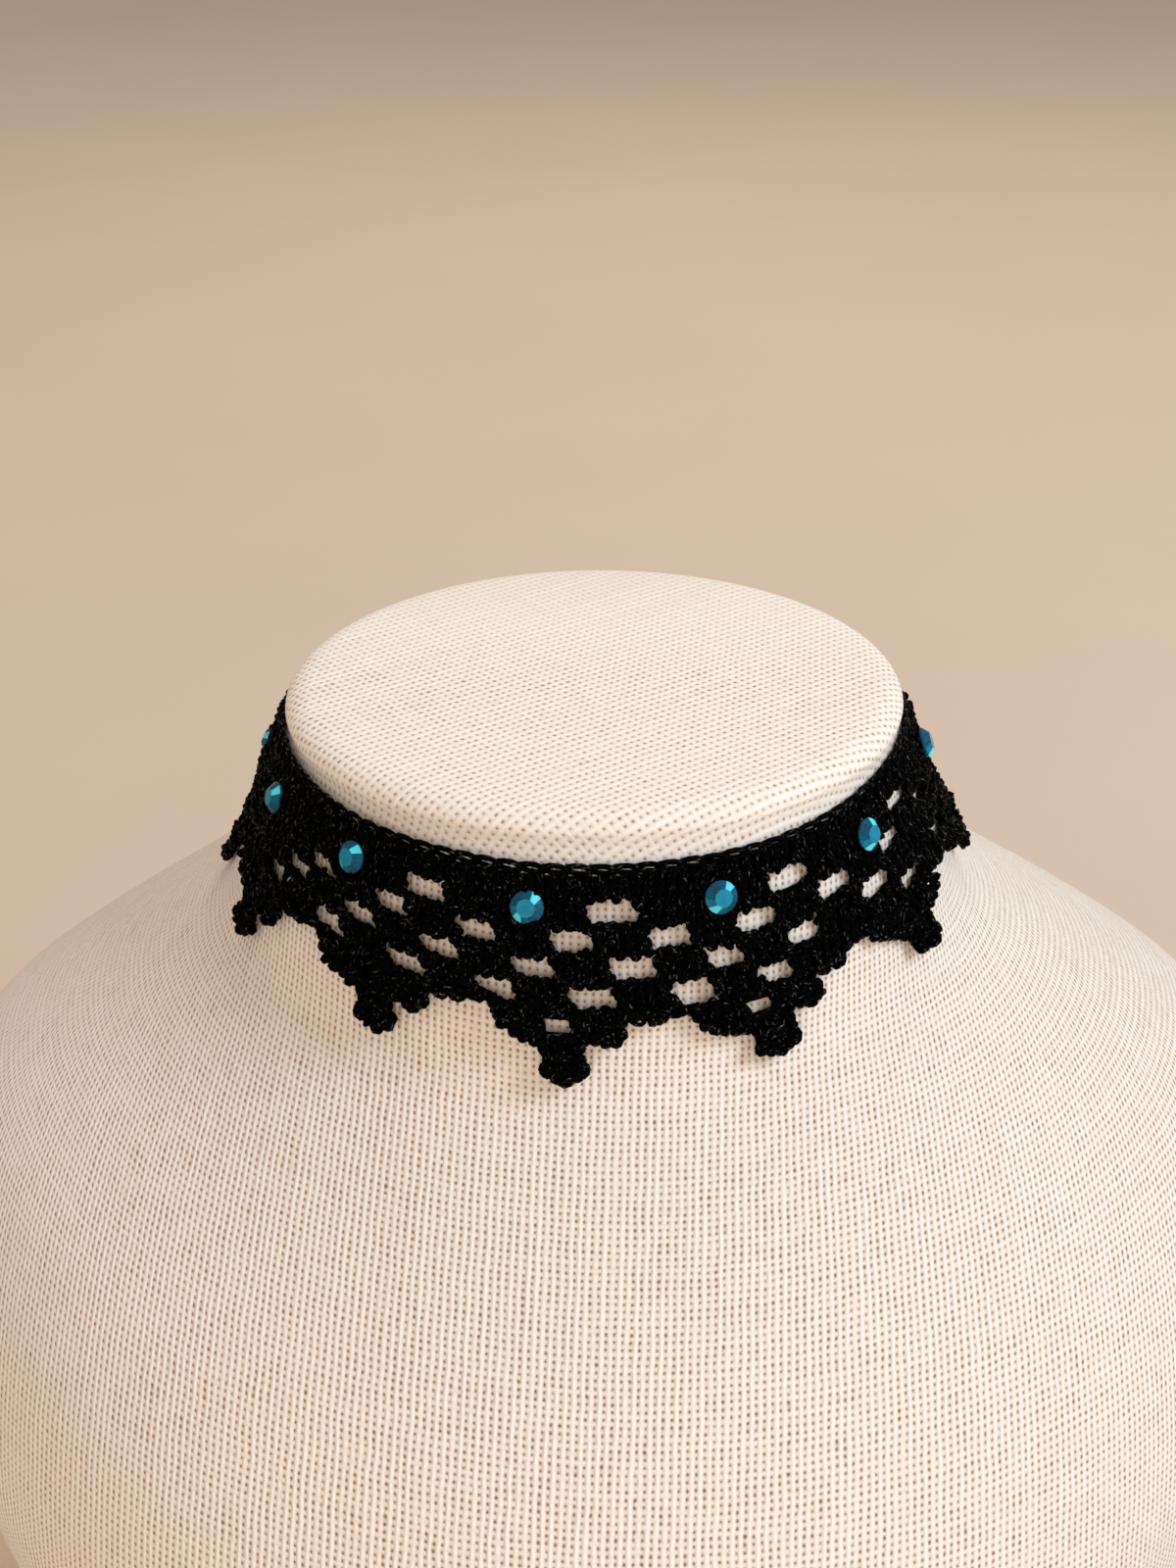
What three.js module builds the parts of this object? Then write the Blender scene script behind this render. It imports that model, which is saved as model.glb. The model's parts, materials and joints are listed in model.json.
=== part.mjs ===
// A crocheted lace choker with faceted gems, on the plain linen neck bust that holds it.
// Millimetres, +Z up. The bust stands on its flat base at z = 0 and faces -Y.
// Places on the bust are an angle round the neck (0 at the front, growing toward +X) and a
// drop below the neck's top. Places on the lace are a column round the band and a level down it.

import * as THREE from 'three';

// ---- The bust ------------------------------------------------------------------------------
const NECK_TOP = 200;          // height of the flat neck top above the base
const NECK_RIM = 54;           // radius of the neck at its rounded rim
const RIM_ROUND = 3;           // rounding between the flat top and the neck's side
const RIM_STEPS = 3;           // facets across that rounding
const BUST_SIDES = 48;         // facets round the bust
const RING_STEPS = 2;          // rings lofted between two rows of the table below

// One row for each section of the bust, from the rim down. A section is an ellipse that may
// dip toward the front: its drop is given at the side, the front and the back.
const BUST_SECTIONS = [
  { side: 3, front: 3, back: 3, halfWidth: 54, toFront: 54, toBack: 54 },
  { side: 5.5, front: 6, back: 5.5, halfWidth: 53.6, toFront: 54, toBack: 53.4 },
  { side: 11, front: 11.5, back: 11, halfWidth: 55.8, toFront: 56, toBack: 55.6 },
  { side: 19, front: 20, back: 19, halfWidth: 58.6, toFront: 58.8, toBack: 58.4 },
  { side: 28, front: 31, back: 28, halfWidth: 62.4, toFront: 61.8, toBack: 61.6 },
  { side: 36.5, front: 42.5, back: 36, halfWidth: 66.2, toFront: 65, toBack: 64.8 },
  { side: 42.5, front: 49, back: 42, halfWidth: 72.5, toFront: 70.5, toBack: 69 },
  { side: 50.5, front: 58, back: 51, halfWidth: 85, toFront: 81.5, toBack: 76 },
  { side: 60, front: 71, back: 64, halfWidth: 102, toFront: 97, toBack: 82 },
  { side: 69, front: 86, back: 80, halfWidth: 115, toFront: 112, toBack: 86 },
  { side: 83, front: 104, back: 98, halfWidth: 124, toFront: 124, toBack: 87.5 },
  { side: 106, front: 126, back: 120, halfWidth: 127, toFront: 131, toBack: 86 },
  { side: 138, front: 152, back: 148, halfWidth: 121, toFront: 127, toBack: 80 },
  { side: 170, front: 178, back: 176, halfWidth: 108, toFront: 115, toBack: 70 },
  { side: 196, front: 196, back: 196, halfWidth: 96, toFront: 104, toBack: 61 },
  { side: 200, front: 200, back: 200, halfWidth: 92, toFront: 100, toBack: 57 },
];

// ---- The lace ------------------------------------------------------------------------------
const MOTIFS = 12;                         // points, and gems, round the band
const MOTIF_COLUMNS = 4;                   // columns of the mesh in one point
const COLUMN_TURN = 360 / (MOTIFS * MOTIF_COLUMNS);
const LACE_WALL = 1.6;                     // thickness of the crocheted fabric
const CLEARANCE = 0.4;                     // gap between the fabric and the linen
const HOLE_HALF = 0.38;                    // half the height of a mesh hole, in levels
const HOLE_LEVELS = [1, 2, 3, 4];
const BAND_LINE = 1 / 3;                   // a grid line across the solid band over level 1
const TIP_HOLE = { top: 4.72, bottom: 5.3 };   // the small hole above each point
const EDGE_CHAIN = 4.6;                    // level under which only the points go on
const TIP_LEVEL = 7.3;                     // level of the points' ends
const SWING_LEVEL = 3;                     // level from which the points swing sideways
const END_COLUMN = MOTIFS * MOTIF_COLUMNS / 2 - 0.25;   // the band's two ends, at the back
const END_BAR = 0.25;                      // width of the plain bar at each end, in columns
const HALF_COLUMN = 0.5;

// The work leans round the neck as it goes down: the angle of column 0 at each level, in degrees.
const LEAN = [
  { level: 0, turn: 0.9 },
  { level: 1, turn: 2.3 },
  { level: 4, turn: 6.9 },
  { level: 5, turn: 9.2 },
  { level: TIP_LEVEL, turn: 10.5 },
];

// The pointed lower edge, by distance from the point's own column: its lowest level there.
const POINT_OUTLINE = [
  { columns: 0, level: TIP_LEVEL },
  { columns: 0.5, level: 6.7 },
  { columns: 1, level: 5.45 },
  { columns: 1.5, level: 5.05 },
  { columns: 2, level: 4.75 },
];

// How each motif sits on the neck: the drop of its top edge, of levels 1 and 5 and of its
// point, and how far its point swings round the neck in degrees. Then how far its gem stands
// off the middle of the motif, round the neck in degrees and down in millimetres.
// The first row is the front motif, the next ones follow toward +X.
const MOTIF_ROWS = [
  { top: 7.4, first: 14.5, fifth: 32.0, tip: 41.2, tipTurn: 0.2, gemTurn: 2.0, gemDrop: -0.5 },
  { top: 7.4, first: 14.3, fifth: 31.7, tip: 40.0, tipTurn: 0.2, gemTurn: 1.9, gemDrop: -0.4 },
  { top: 6.6, first: 12.4, fifth: 29.2, tip: 34.8, tipTurn: 2.2, gemTurn: 2.0, gemDrop: 0 },
  { top: 4.9, first: 10.2, fifth: 25.8, tip: 32.6, tipTurn: 1.9, gemTurn: 5.1, gemDrop: 0.6 },
  { top: 4.8, first: 10.2, fifth: 25.2, tip: 32.0, tipTurn: 0, gemTurn: 7.0, gemDrop: 1.0 },
  { top: 4.4, first: 10.8, fifth: 25.8, tip: 33.0, tipTurn: 0, gemTurn: 2.1, gemDrop: 0 },
  { top: 4.5, first: 11.6, fifth: 26.6, tip: 34.0, tipTurn: 0, gemTurn: 2.1, gemDrop: 0 },
  { top: 5.0, first: 12.4, fifth: 27.4, tip: 35.0, tipTurn: 0, gemTurn: 2.1, gemDrop: 0 },
  { top: 5.5, first: 13.0, fifth: 28.0, tip: 36.0, tipTurn: 0, gemTurn: 2.1, gemDrop: 0.6 },
  { top: 5.8, first: 12.8, fifth: 27.6, tip: 37.8, tipTurn: 1.5, gemTurn: 0.3, gemDrop: 5.8 },
  { top: 5.2, first: 11.2, fifth: 25.8, tip: 36.0, tipTurn: -1.6, gemTurn: 5.4, gemDrop: 1.2 },
  { top: 6.7, first: 12.8, fifth: 29.0, tip: 37.4, tipTurn: 2.4, gemTurn: 0.4, gemDrop: -0.1 },
];
const SIT_LEVELS = [
  { level: 0, column: 'top' },
  { level: 1, column: 'first' },
  { level: 5, column: 'fifth' },
  { level: TIP_LEVEL, column: 'tip' },
];

// ---- The gems and the clasp ------------------------------------------------------------------
const GEM = { radius: 2.7, girdle: 0.4, height: 1.5, table: 0.56, facets: 10 };
const CLASP = { width: 9, height: 5.5, thickness: 1.4, corner: 1.5, level: 0.55 };
const TRIM_GAP = 0.3;          // gap between the fabric and what is fixed on it

const degrees = THREE.MathUtils.degToRad;

// A smooth curve through the four values around a place between the middle two.
function smoothBetween(before, from, to, after, share) {
  const rise = (to - before) / 2;
  const fall = (after - from) / 2;
  const square = share * share;
  const cube = square * share;
  return (2 * cube - 3 * square + 1) * from + (cube - 2 * square + share) * rise
    + (3 * square - 2 * cube) * to + (cube - square) * fall;
}

// The straight-line value at `place` in rows sorted by their `key`.
function lineValue(rows, key, value, place) {
  let next = rows.findIndex((row) => row[key] >= place);
  if (next < 0) next = rows.length - 1;
  next = Math.max(next, 1);
  const low = rows[next - 1];
  const high = rows[next];
  const share = (place - low[key]) / (high[key] - low[key]);
  return low[value] + (high[value] - low[value]) * share;
}

// The sections with smooth ones lofted between them.
function fineSections() {
  const last = BUST_SECTIONS.length - 1;
  const rings = [];
  for (let row = 0; row < last; row += 1) {
    const around = [row - 1, row, row + 1, row + 2]
      .map((index) => BUST_SECTIONS[THREE.MathUtils.clamp(index, 0, last)]);
    for (let step = 0; step < RING_STEPS; step += 1) {
      const ring = {};
      for (const name of Object.keys(BUST_SECTIONS[0])) {
        ring[name] = smoothBetween(...around.map((section) => section[name]), step / RING_STEPS);
      }
      rings.push(ring);
    }
  }
  rings.push(BUST_SECTIONS[last]);
  return rings;
}
const RINGS = fineSections();
const WIDEST = Math.max(...RINGS.map((ring) => ring.toFront));
const DEEPEST = Math.max(...RINGS.map((ring) => ring.toBack));
const NECK_Y = (WIDEST - DEEPEST) / 2;   // the neck stands behind the middle of the bust

// A section's drop and its reach from the neck's axis along x and y, at one angle.
function ringAt(ring, angle) {
  const side = Math.sin(angle);
  const ahead = Math.cos(angle);
  const dip = ahead > 0 ? ring.front : ring.back;
  const reach = ahead > 0 ? ring.toFront : ring.toBack;
  return {
    drop: ring.side * side * side + dip * ahead * ahead,
    x: ring.halfWidth * side,
    y: -reach * ahead,
  };
}

// The point of the bust's surface at an angle and a drop.
function bustPoint(angle, drop) {
  const profile = RINGS.map((ring) => ringAt(ring, angle));
  const x = lineValue(profile, 'drop', 'x', drop);
  const y = lineValue(profile, 'drop', 'y', drop);
  return new THREE.Vector3(x, y + NECK_Y, NECK_TOP - drop);
}

// The outward direction of the bust's surface there, taken over a small patch.
function bustNormal(angle, drop) {
  const turn = degrees(1);
  const fall = 1.5;
  const around = bustPoint(angle + turn, drop).sub(bustPoint(angle - turn, drop));
  const up = bustPoint(angle, drop - fall).sub(bustPoint(angle, drop + fall));
  return around.cross(up).normalize();
}

// A value of the motif table at any column, eased from one motif to the next.
function motifValue(name, column) {
  const place = (column + MOTIF_COLUMNS / 2) / MOTIF_COLUMNS + MOTIFS;
  const motif = Math.floor(place);
  const around = [-1, 0, 1, 2].map((step) => MOTIF_ROWS[(motif + step) % MOTIFS][name]);
  return smoothBetween(...around, place - motif);
}

function laceAngle(column, level) {
  const lean = lineValue(LEAN, 'level', 'turn', level);
  const swing = THREE.MathUtils.clamp((level - SWING_LEVEL) / (TIP_LEVEL - SWING_LEVEL), 0, 1);
  return degrees(COLUMN_TURN * column + lean + swing * motifValue('tipTurn', column));
}

function laceDrop(column, level) {
  const sits = SIT_LEVELS.map((row) => ({ level: row.level, drop: motifValue(row.column, column) }));
  return lineValue(sits, 'level', 'drop', level);
}

// A point of the lace, `lift` millimetres outside the fabric's inner face.
function lacePoint(column, level, lift) {
  const angle = laceAngle(column, level);
  const drop = laceDrop(column, level);
  const outward = bustNormal(angle, drop);
  return bustPoint(angle, drop).addScaledVector(outward, CLEARANCE + lift);
}

// How many columns a place is from the nearest point of the lace's edge.
function fromPoint(column) {
  const place = column + MOTIF_COLUMNS / 2;
  return Math.abs(place - MOTIF_COLUMNS * Math.round(place / MOTIF_COLUMNS));
}

// The grid lines of the fabric round the neck: half columns, and the bars at both ends.
function laceColumns() {
  const lines = [-END_COLUMN];
  for (let place = END_BAR - END_COLUMN; place < END_COLUMN; place += HALF_COLUMN) lines.push(place);
  lines.push(END_COLUMN);
  return lines;
}

// The levels of the grid lines down one column, from the top edge to the pointed one.
function laceLevels(column) {
  const levels = [0, BAND_LINE];
  for (const level of HOLE_LEVELS) levels.push(level - HOLE_HALF, level + HOLE_HALF);
  const lowest = lineValue(POINT_OUTLINE, 'columns', 'level', fromPoint(column));
  for (const level of [EDGE_CHAIN, TIP_HOLE.top, TIP_HOLE.bottom, TIP_LEVEL]) {
    const share = (level - EDGE_CHAIN) / (TIP_LEVEL - EDGE_CHAIN);
    levels.push(EDGE_CHAIN + share * (lowest - EDGE_CHAIN));
  }
  return levels;
}

// Which columns are open in each row of cells between those grid lines, from the top down:
// every fourth column, then the odd and the even ones in turn, then the small hole over a point.
const closed = () => false;
const betweenPoints = (column) => fromPoint(column) === MOTIF_COLUMNS / 2;
const oddColumn = (column) => column % 2 !== 0;
const evenColumn = (column) => column % 2 === 0;
const overPoint = (column) => fromPoint(column) === 0;
const CELL_ROWS = [
  closed, closed, betweenPoints, closed, oddColumn, closed, evenColumn, closed, oddColumn,
  closed, closed, overPoint, closed,
];

function isOpen(row, place) {
  const inEndBar = Math.abs(place) > END_COLUMN - END_BAR;
  return !inEndBar && CELL_ROWS[row](Math.round(place));
}

// A closed wall over the solid cells of a grid. point(c, r, side) gives its corners, side 0
// being the inner face and 1 the outer one.
function cellWall(columnLines, rowLines, isSolid, point) {
  const positions = [];
  const faces = [];
  const cornerNumbers = new Map();
  const corner = (c, r, side) => {
    const key = `${c} ${r} ${side}`;
    if (!cornerNumbers.has(key)) {
      cornerNumbers.set(key, positions.length / 3);
      positions.push(...point(c, r, side).toArray());
    }
    return cornerNumbers.get(key);
  };
  const quad = (a, b, c, d) => faces.push(a, b, c, a, c, d);
  const solid = (c, r) => c >= 0 && r >= 0 && c < columnLines - 1 && r < rowLines - 1 && isSolid(c, r);
  for (let c = 0; c < columnLines - 1; c += 1) {
    for (let r = 0; r < rowLines - 1; r += 1) {
      if (!solid(c, r)) continue;
      const inner = [corner(c, r, 0), corner(c, r + 1, 0), corner(c + 1, r + 1, 0), corner(c + 1, r, 0)];
      const outer = [corner(c, r, 1), corner(c, r + 1, 1), corner(c + 1, r + 1, 1), corner(c + 1, r, 1)];
      quad(outer[0], outer[1], outer[2], outer[3]);
      quad(inner[3], inner[2], inner[1], inner[0]);
      const neighbours = [solid(c - 1, r), solid(c, r + 1), solid(c + 1, r), solid(c, r - 1)];
      neighbours.forEach((joined, edge) => {
        const next = (edge + 1) % 4;
        if (!joined) quad(inner[edge], inner[next], outer[next], outer[edge]);
      });
    }
  }
  return indexedGeometry(positions, faces);
}

function indexedGeometry(positions, faces) {
  const geometry = new THREE.BufferGeometry();
  geometry.setAttribute('position', new THREE.Float32BufferAttribute(positions, 3));
  geometry.setIndex(faces);
  geometry.computeVertexNormals();
  return geometry;
}

function laceGeometry() {
  const columns = laceColumns();
  const levels = columns.map(laceLevels);
  const isSolid = (c, r) => !isOpen(r, (columns[c] + columns[c + 1]) / 2);
  const point = (c, r, side) => lacePoint(columns[c], levels[c][r], side * LACE_WALL);
  return cellWall(columns.length, levels[0].length, isSolid, point);
}

// The bust is lofted through its rings, from the middle of the neck's top to that of the base.
function bustGeometry() {
  const rim = [];
  for (let step = 0; step < RIM_STEPS; step += 1) {
    const bend = degrees(90 * step / RIM_STEPS);
    const radius = NECK_RIM - RIM_ROUND * (1 - Math.sin(bend));
    const drop = RIM_ROUND * (1 - Math.cos(bend));
    rim.push({ side: drop, front: drop, back: drop, halfWidth: radius, toFront: radius, toBack: radius });
  }
  const rings = [...rim, ...RINGS];
  const positions = [0, NECK_Y, NECK_TOP, 0, NECK_Y, 0];
  const faces = [];
  const corner = (ring, side) => 2 + ring * BUST_SIDES + (side % BUST_SIDES);
  for (const ring of rings) {
    for (let side = 0; side < BUST_SIDES; side += 1) {
      const place = ringAt(ring, degrees(360 * side / BUST_SIDES));
      positions.push(place.x, place.y + NECK_Y, NECK_TOP - place.drop);
    }
  }
  for (let side = 0; side < BUST_SIDES; side += 1) {
    faces.push(0, corner(0, side), corner(0, side + 1));
    faces.push(1, corner(rings.length - 1, side + 1), corner(rings.length - 1, side));
    for (let ring = 0; ring < rings.length - 1; ring += 1) {
      faces.push(corner(ring, side), corner(ring + 1, side), corner(ring + 1, side + 1));
      faces.push(corner(ring, side), corner(ring + 1, side + 1), corner(ring, side + 1));
    }
  }
  return indexedGeometry(positions, faces);
}

// A flat-backed round gem: a thin girdle, a ring of crown facets and a flat table.
function gemGeometry() {
  const profile = [
    new THREE.Vector2(0, 0),
    new THREE.Vector2(GEM.radius, 0),
    new THREE.Vector2(GEM.radius, GEM.girdle),
    new THREE.Vector2(GEM.radius * GEM.table, GEM.height),
    new THREE.Vector2(0, GEM.height),
  ];
  return new THREE.LatheGeometry(profile, GEM.facets).rotateX(Math.PI / 2);
}

// A plain plate with rounded corners, its back on the plane z = 0.
function claspGeometry() {
  const { width, height, corner } = CLASP;
  const x = width / 2 - corner;
  const y = height / 2 - corner;
  const outline = new THREE.Shape();
  outline.absarc(x, y, corner, 0, Math.PI / 2);
  outline.absarc(-x, y, corner, Math.PI / 2, Math.PI);
  outline.absarc(-x, -y, corner, Math.PI, Math.PI * 1.5);
  outline.absarc(x, -y, corner, Math.PI * 1.5, Math.PI * 2);
  const options = { depth: CLASP.thickness, bevelEnabled: false, curveSegments: 4 };
  return new THREE.ExtrudeGeometry(outline, options);
}

// Sets a piece on the lace with its back toward the fabric and its own y axis up the neck.
function setOnLace(mesh, angle, drop) {
  const outward = bustNormal(angle, drop);
  const around = new THREE.Vector3(Math.cos(angle), Math.sin(angle), 0);
  const up = new THREE.Vector3().crossVectors(outward, around).normalize();
  const right = new THREE.Vector3().crossVectors(up, outward);
  mesh.quaternion.setFromRotationMatrix(new THREE.Matrix4().makeBasis(right, up, outward));
  mesh.position.copy(bustPoint(angle, drop));
  mesh.position.addScaledVector(outward, CLEARANCE + LACE_WALL + TRIM_GAP);
}

function piece(name, geometry, material) {
  const mesh = new THREE.Mesh(geometry, material);
  mesh.name = name;
  return mesh;
}

const linen = new THREE.MeshStandardMaterial({ color: '#efe3d6', roughness: 0.95, metalness: 0 });
const cotton = new THREE.MeshStandardMaterial({ color: '#0b0b0a', roughness: 0.8, metalness: 0 });
const glass = new THREE.MeshStandardMaterial({ color: '#1b7f9e', roughness: 0.1, metalness: 0.3 });
const metal = new THREE.MeshStandardMaterial({ color: '#2a2a2c', roughness: 0.4, metalness: 0.9 });

const choker = new THREE.Group();
choker.add(piece('lace_band', laceGeometry(), cotton));
for (let motif = 0; motif < MOTIFS; motif += 1) {
  const row = MOTIF_ROWS[motif];
  const column = MOTIF_COLUMNS * (motif - 0.5);
  const gem = piece(`gem_${String(motif + 1).padStart(2, '0')}`, gemGeometry(), glass.clone());
  setOnLace(gem, laceAngle(column, 1) + degrees(row.gemTurn), row.first + row.gemDrop);
  choker.add(gem);
}
const clasp = piece('clasp', claspGeometry(), metal);
const backColumn = MOTIFS * MOTIF_COLUMNS / 2;
setOnLace(clasp, laceAngle(backColumn, CLASP.level), laceDrop(backColumn, CLASP.level));
choker.add(clasp);

const model = new THREE.Group();
model.add(piece('neck_bust', bustGeometry(), linen));
model.add(choker);

export default model;
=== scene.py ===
"""A crocheted lace choker with round blue stones, on the linen-covered neck bust that holds it.

Lengths in the tables are millimetres in the part's own frame: +Z up, the bust facing -Y, its
base at z = 0. A place on the bust is an angle round the neck, 0 at the front and growing toward
+X, and a drop below the neck's top. A place on the lace is a column round it and a level down it.
"""
import json
import math

import bmesh
import bpy
import numpy as np
from mathutils import Matrix, Vector

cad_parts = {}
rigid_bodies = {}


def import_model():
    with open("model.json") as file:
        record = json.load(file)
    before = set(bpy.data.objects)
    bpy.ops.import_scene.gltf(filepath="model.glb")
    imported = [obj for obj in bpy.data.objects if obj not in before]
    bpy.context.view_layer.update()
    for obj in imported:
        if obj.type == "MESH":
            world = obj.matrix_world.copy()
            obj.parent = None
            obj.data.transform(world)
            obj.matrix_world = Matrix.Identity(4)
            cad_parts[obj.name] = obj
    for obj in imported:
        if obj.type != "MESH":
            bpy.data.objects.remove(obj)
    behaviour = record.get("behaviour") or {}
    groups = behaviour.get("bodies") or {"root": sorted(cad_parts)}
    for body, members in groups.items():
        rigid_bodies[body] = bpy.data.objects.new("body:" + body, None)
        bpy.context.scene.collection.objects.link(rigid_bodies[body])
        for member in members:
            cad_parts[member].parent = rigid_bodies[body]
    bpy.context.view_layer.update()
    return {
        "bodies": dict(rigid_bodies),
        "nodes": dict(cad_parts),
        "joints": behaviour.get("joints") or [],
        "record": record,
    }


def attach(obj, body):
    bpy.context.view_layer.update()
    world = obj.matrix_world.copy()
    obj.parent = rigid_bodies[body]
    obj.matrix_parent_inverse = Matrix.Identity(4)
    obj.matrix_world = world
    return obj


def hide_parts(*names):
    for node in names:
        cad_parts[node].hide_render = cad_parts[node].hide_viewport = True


MM = 0.001

# ---- Sizes shared with the part ------------------------------------------------------------------
NECK_TOP = 200.0
NECK_RIM = 54.0
RIM_ROUND = 3.0
NECK_Y = 21.75                # the neck's axis stands this far behind the middle of the bust

# Sections of the bust from the rim down: the drop at the side, front and back, the half width,
# and the reach to the front and to the back.
BUST_SECTIONS = (
    (3, 3, 3, 54, 54, 54),
    (5.5, 6, 5.5, 53.6, 54, 53.4),
    (11, 11.5, 11, 55.8, 56, 55.6),
    (19, 20, 19, 58.6, 58.8, 58.4),
    (28, 31, 28, 62.4, 61.8, 61.6),
    (36.5, 42.5, 36, 66.2, 65, 64.8),
    (42.5, 49, 42, 72.5, 70.5, 69),
    (50.5, 58, 51, 85, 81.5, 76),
    (60, 71, 64, 102, 97, 82),
    (69, 86, 80, 115, 112, 86),
    (83, 104, 98, 124, 124, 87.5),
    (106, 126, 120, 127, 131, 86),
    (138, 152, 148, 121, 127, 80),
    (170, 178, 176, 108, 115, 70),
    (196, 196, 196, 96, 104, 61),
    (200, 200, 200, 92, 100, 57),
)

MOTIFS = 12
MOTIF_COLUMNS = 4
COLUMNS = MOTIFS * MOTIF_COLUMNS
COLUMN_TURN = 360 / COLUMNS
CLEARANCE = 0.4               # between the linen and the lace
LACE_WALL = 1.6
TRIM_GAP = 0.3                # between the lace and what is fixed on it
TIP_LEVEL = 7.3
SWING_LEVEL = 3.0             # under this level a point swings to one side
END_COLUMN = COLUMNS / 2 - 0.25   # the band ends here, at the slit in the back

# How far the work leans round the neck: the turn of column 0 at each level, in degrees.
LEAN_LEVELS = (0, 1, 4, 5, TIP_LEVEL)
LEAN_TURNS = (0.9, 2.3, 6.9, 9.2, 10.5)

# Each motif from the front one toward +X: the drop of the top edge, of levels 1 and 5 and of the
# point, the point's swing in degrees, and how far the stone sits off the middle, in degrees and mm.
MOTIF_ROWS = np.array((
    (7.4, 14.5, 32.0, 41.2, 0.2, 2.0, -0.5),
    (7.4, 14.3, 31.7, 40.0, 0.2, 1.9, -0.4),
    (6.6, 12.4, 29.2, 34.8, 2.2, 2.0, 0),
    (4.9, 10.2, 25.8, 32.6, 1.9, 5.1, 0.6),
    (4.8, 10.2, 25.2, 32.0, 0, 7.0, 1.0),
    (4.4, 10.8, 25.8, 33.0, 0, 2.1, 0),
    (4.5, 11.6, 26.6, 34.0, 0, 2.1, 0),
    (5.0, 12.4, 27.4, 35.0, 0, 2.1, 0),
    (5.5, 13.0, 28.0, 36.0, 0, 2.1, 0.6),
    (5.8, 12.8, 27.6, 37.8, 1.5, 0.3, 5.8),
    (5.2, 11.2, 25.8, 36.0, -1.6, 5.4, 1.2),
    (6.7, 12.8, 29.0, 37.4, 2.4, 0.4, -0.1),
))
TOP, FIRST, FIFTH, TIP, TIP_TURN, GEM_TURN, GEM_DROP = range(7)

GEM_RADIUS = 2.7
GEM_GIRDLE = 0.4
GEM_HEIGHT = 1.5
GEM_TABLE = 0.56
GEM_SIDES = 10

CLASP_WIDTH = 9.0
CLASP_HEIGHT = 5.5
CLASP_THICKNESS = 1.4
CLASP_CORNER = 1.5
CLASP_LEVEL = 0.55
CLASP_EASE = 0.3              # of the front's rim
CLASP_BORDER = 0.5            # round the sunk face
CLASP_SUNK = 0.18


# ---- Camera --------------------------------------------------------------------------------------
def make_camera():
    """The camera stands in front of the bust and looks down on the neck, tilted a little."""
    look_at = Vector((-1.24, NECK_Y, 178.88)) * MM
    distance = 421.9 * MM
    elevation = math.radians(26.7)
    roll = math.radians(0.64)
    across = Vector((1, 0, 0))
    up = Vector((0, math.sin(elevation), math.cos(elevation)))
    back = Vector((0, -math.cos(elevation), math.sin(elevation)))
    right = across * math.cos(roll) - up * math.sin(roll)
    top = across * math.sin(roll) + up * math.cos(roll)
    data = bpy.data.cameras.new("camera")
    data.lens = 54
    data.sensor_width = 36
    data.clip_start = 0.01
    data.clip_end = 50
    camera = bpy.data.objects.new("camera", data)
    turn = Matrix((right, top, back)).transposed()
    camera.matrix_world = Matrix.Translation(look_at + back * distance) @ turn.to_4x4()
    bpy.context.collection.objects.link(camera)
    bpy.context.scene.camera = camera


# ---- Materials -----------------------------------------------------------------------------------
def linear(hex_colour):
    """An sRGB hex colour as linear red, green, blue and alpha."""
    parts = [int(hex_colour[i:i + 2], 16) / 255 for i in (1, 3, 5)]
    lit = [p / 12.92 if p <= 0.04045 else ((p + 0.055) / 1.055) ** 2.4 for p in parts]
    return (*lit, 1.0)


def new_material(name):
    material = bpy.data.materials.new(name)
    material.use_nodes = True
    material.node_tree.nodes.clear()
    return material, material.node_tree


def add(tree, kind, inputs=None, **settings):
    """Adds a node with its settings. Each input is given a value, a socket, or a node, which
    stands for its first output."""
    node = tree.nodes.new(kind)
    for name, value in settings.items():
        setattr(node, name, value)
    for key, value in (inputs or {}).items():
        if isinstance(value, bpy.types.Node):
            value = value.outputs[0]
        if isinstance(value, bpy.types.NodeSocket):
            tree.links.new(value, node.inputs[key])
        else:
            node.inputs[key].default_value = value
    return node


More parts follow.
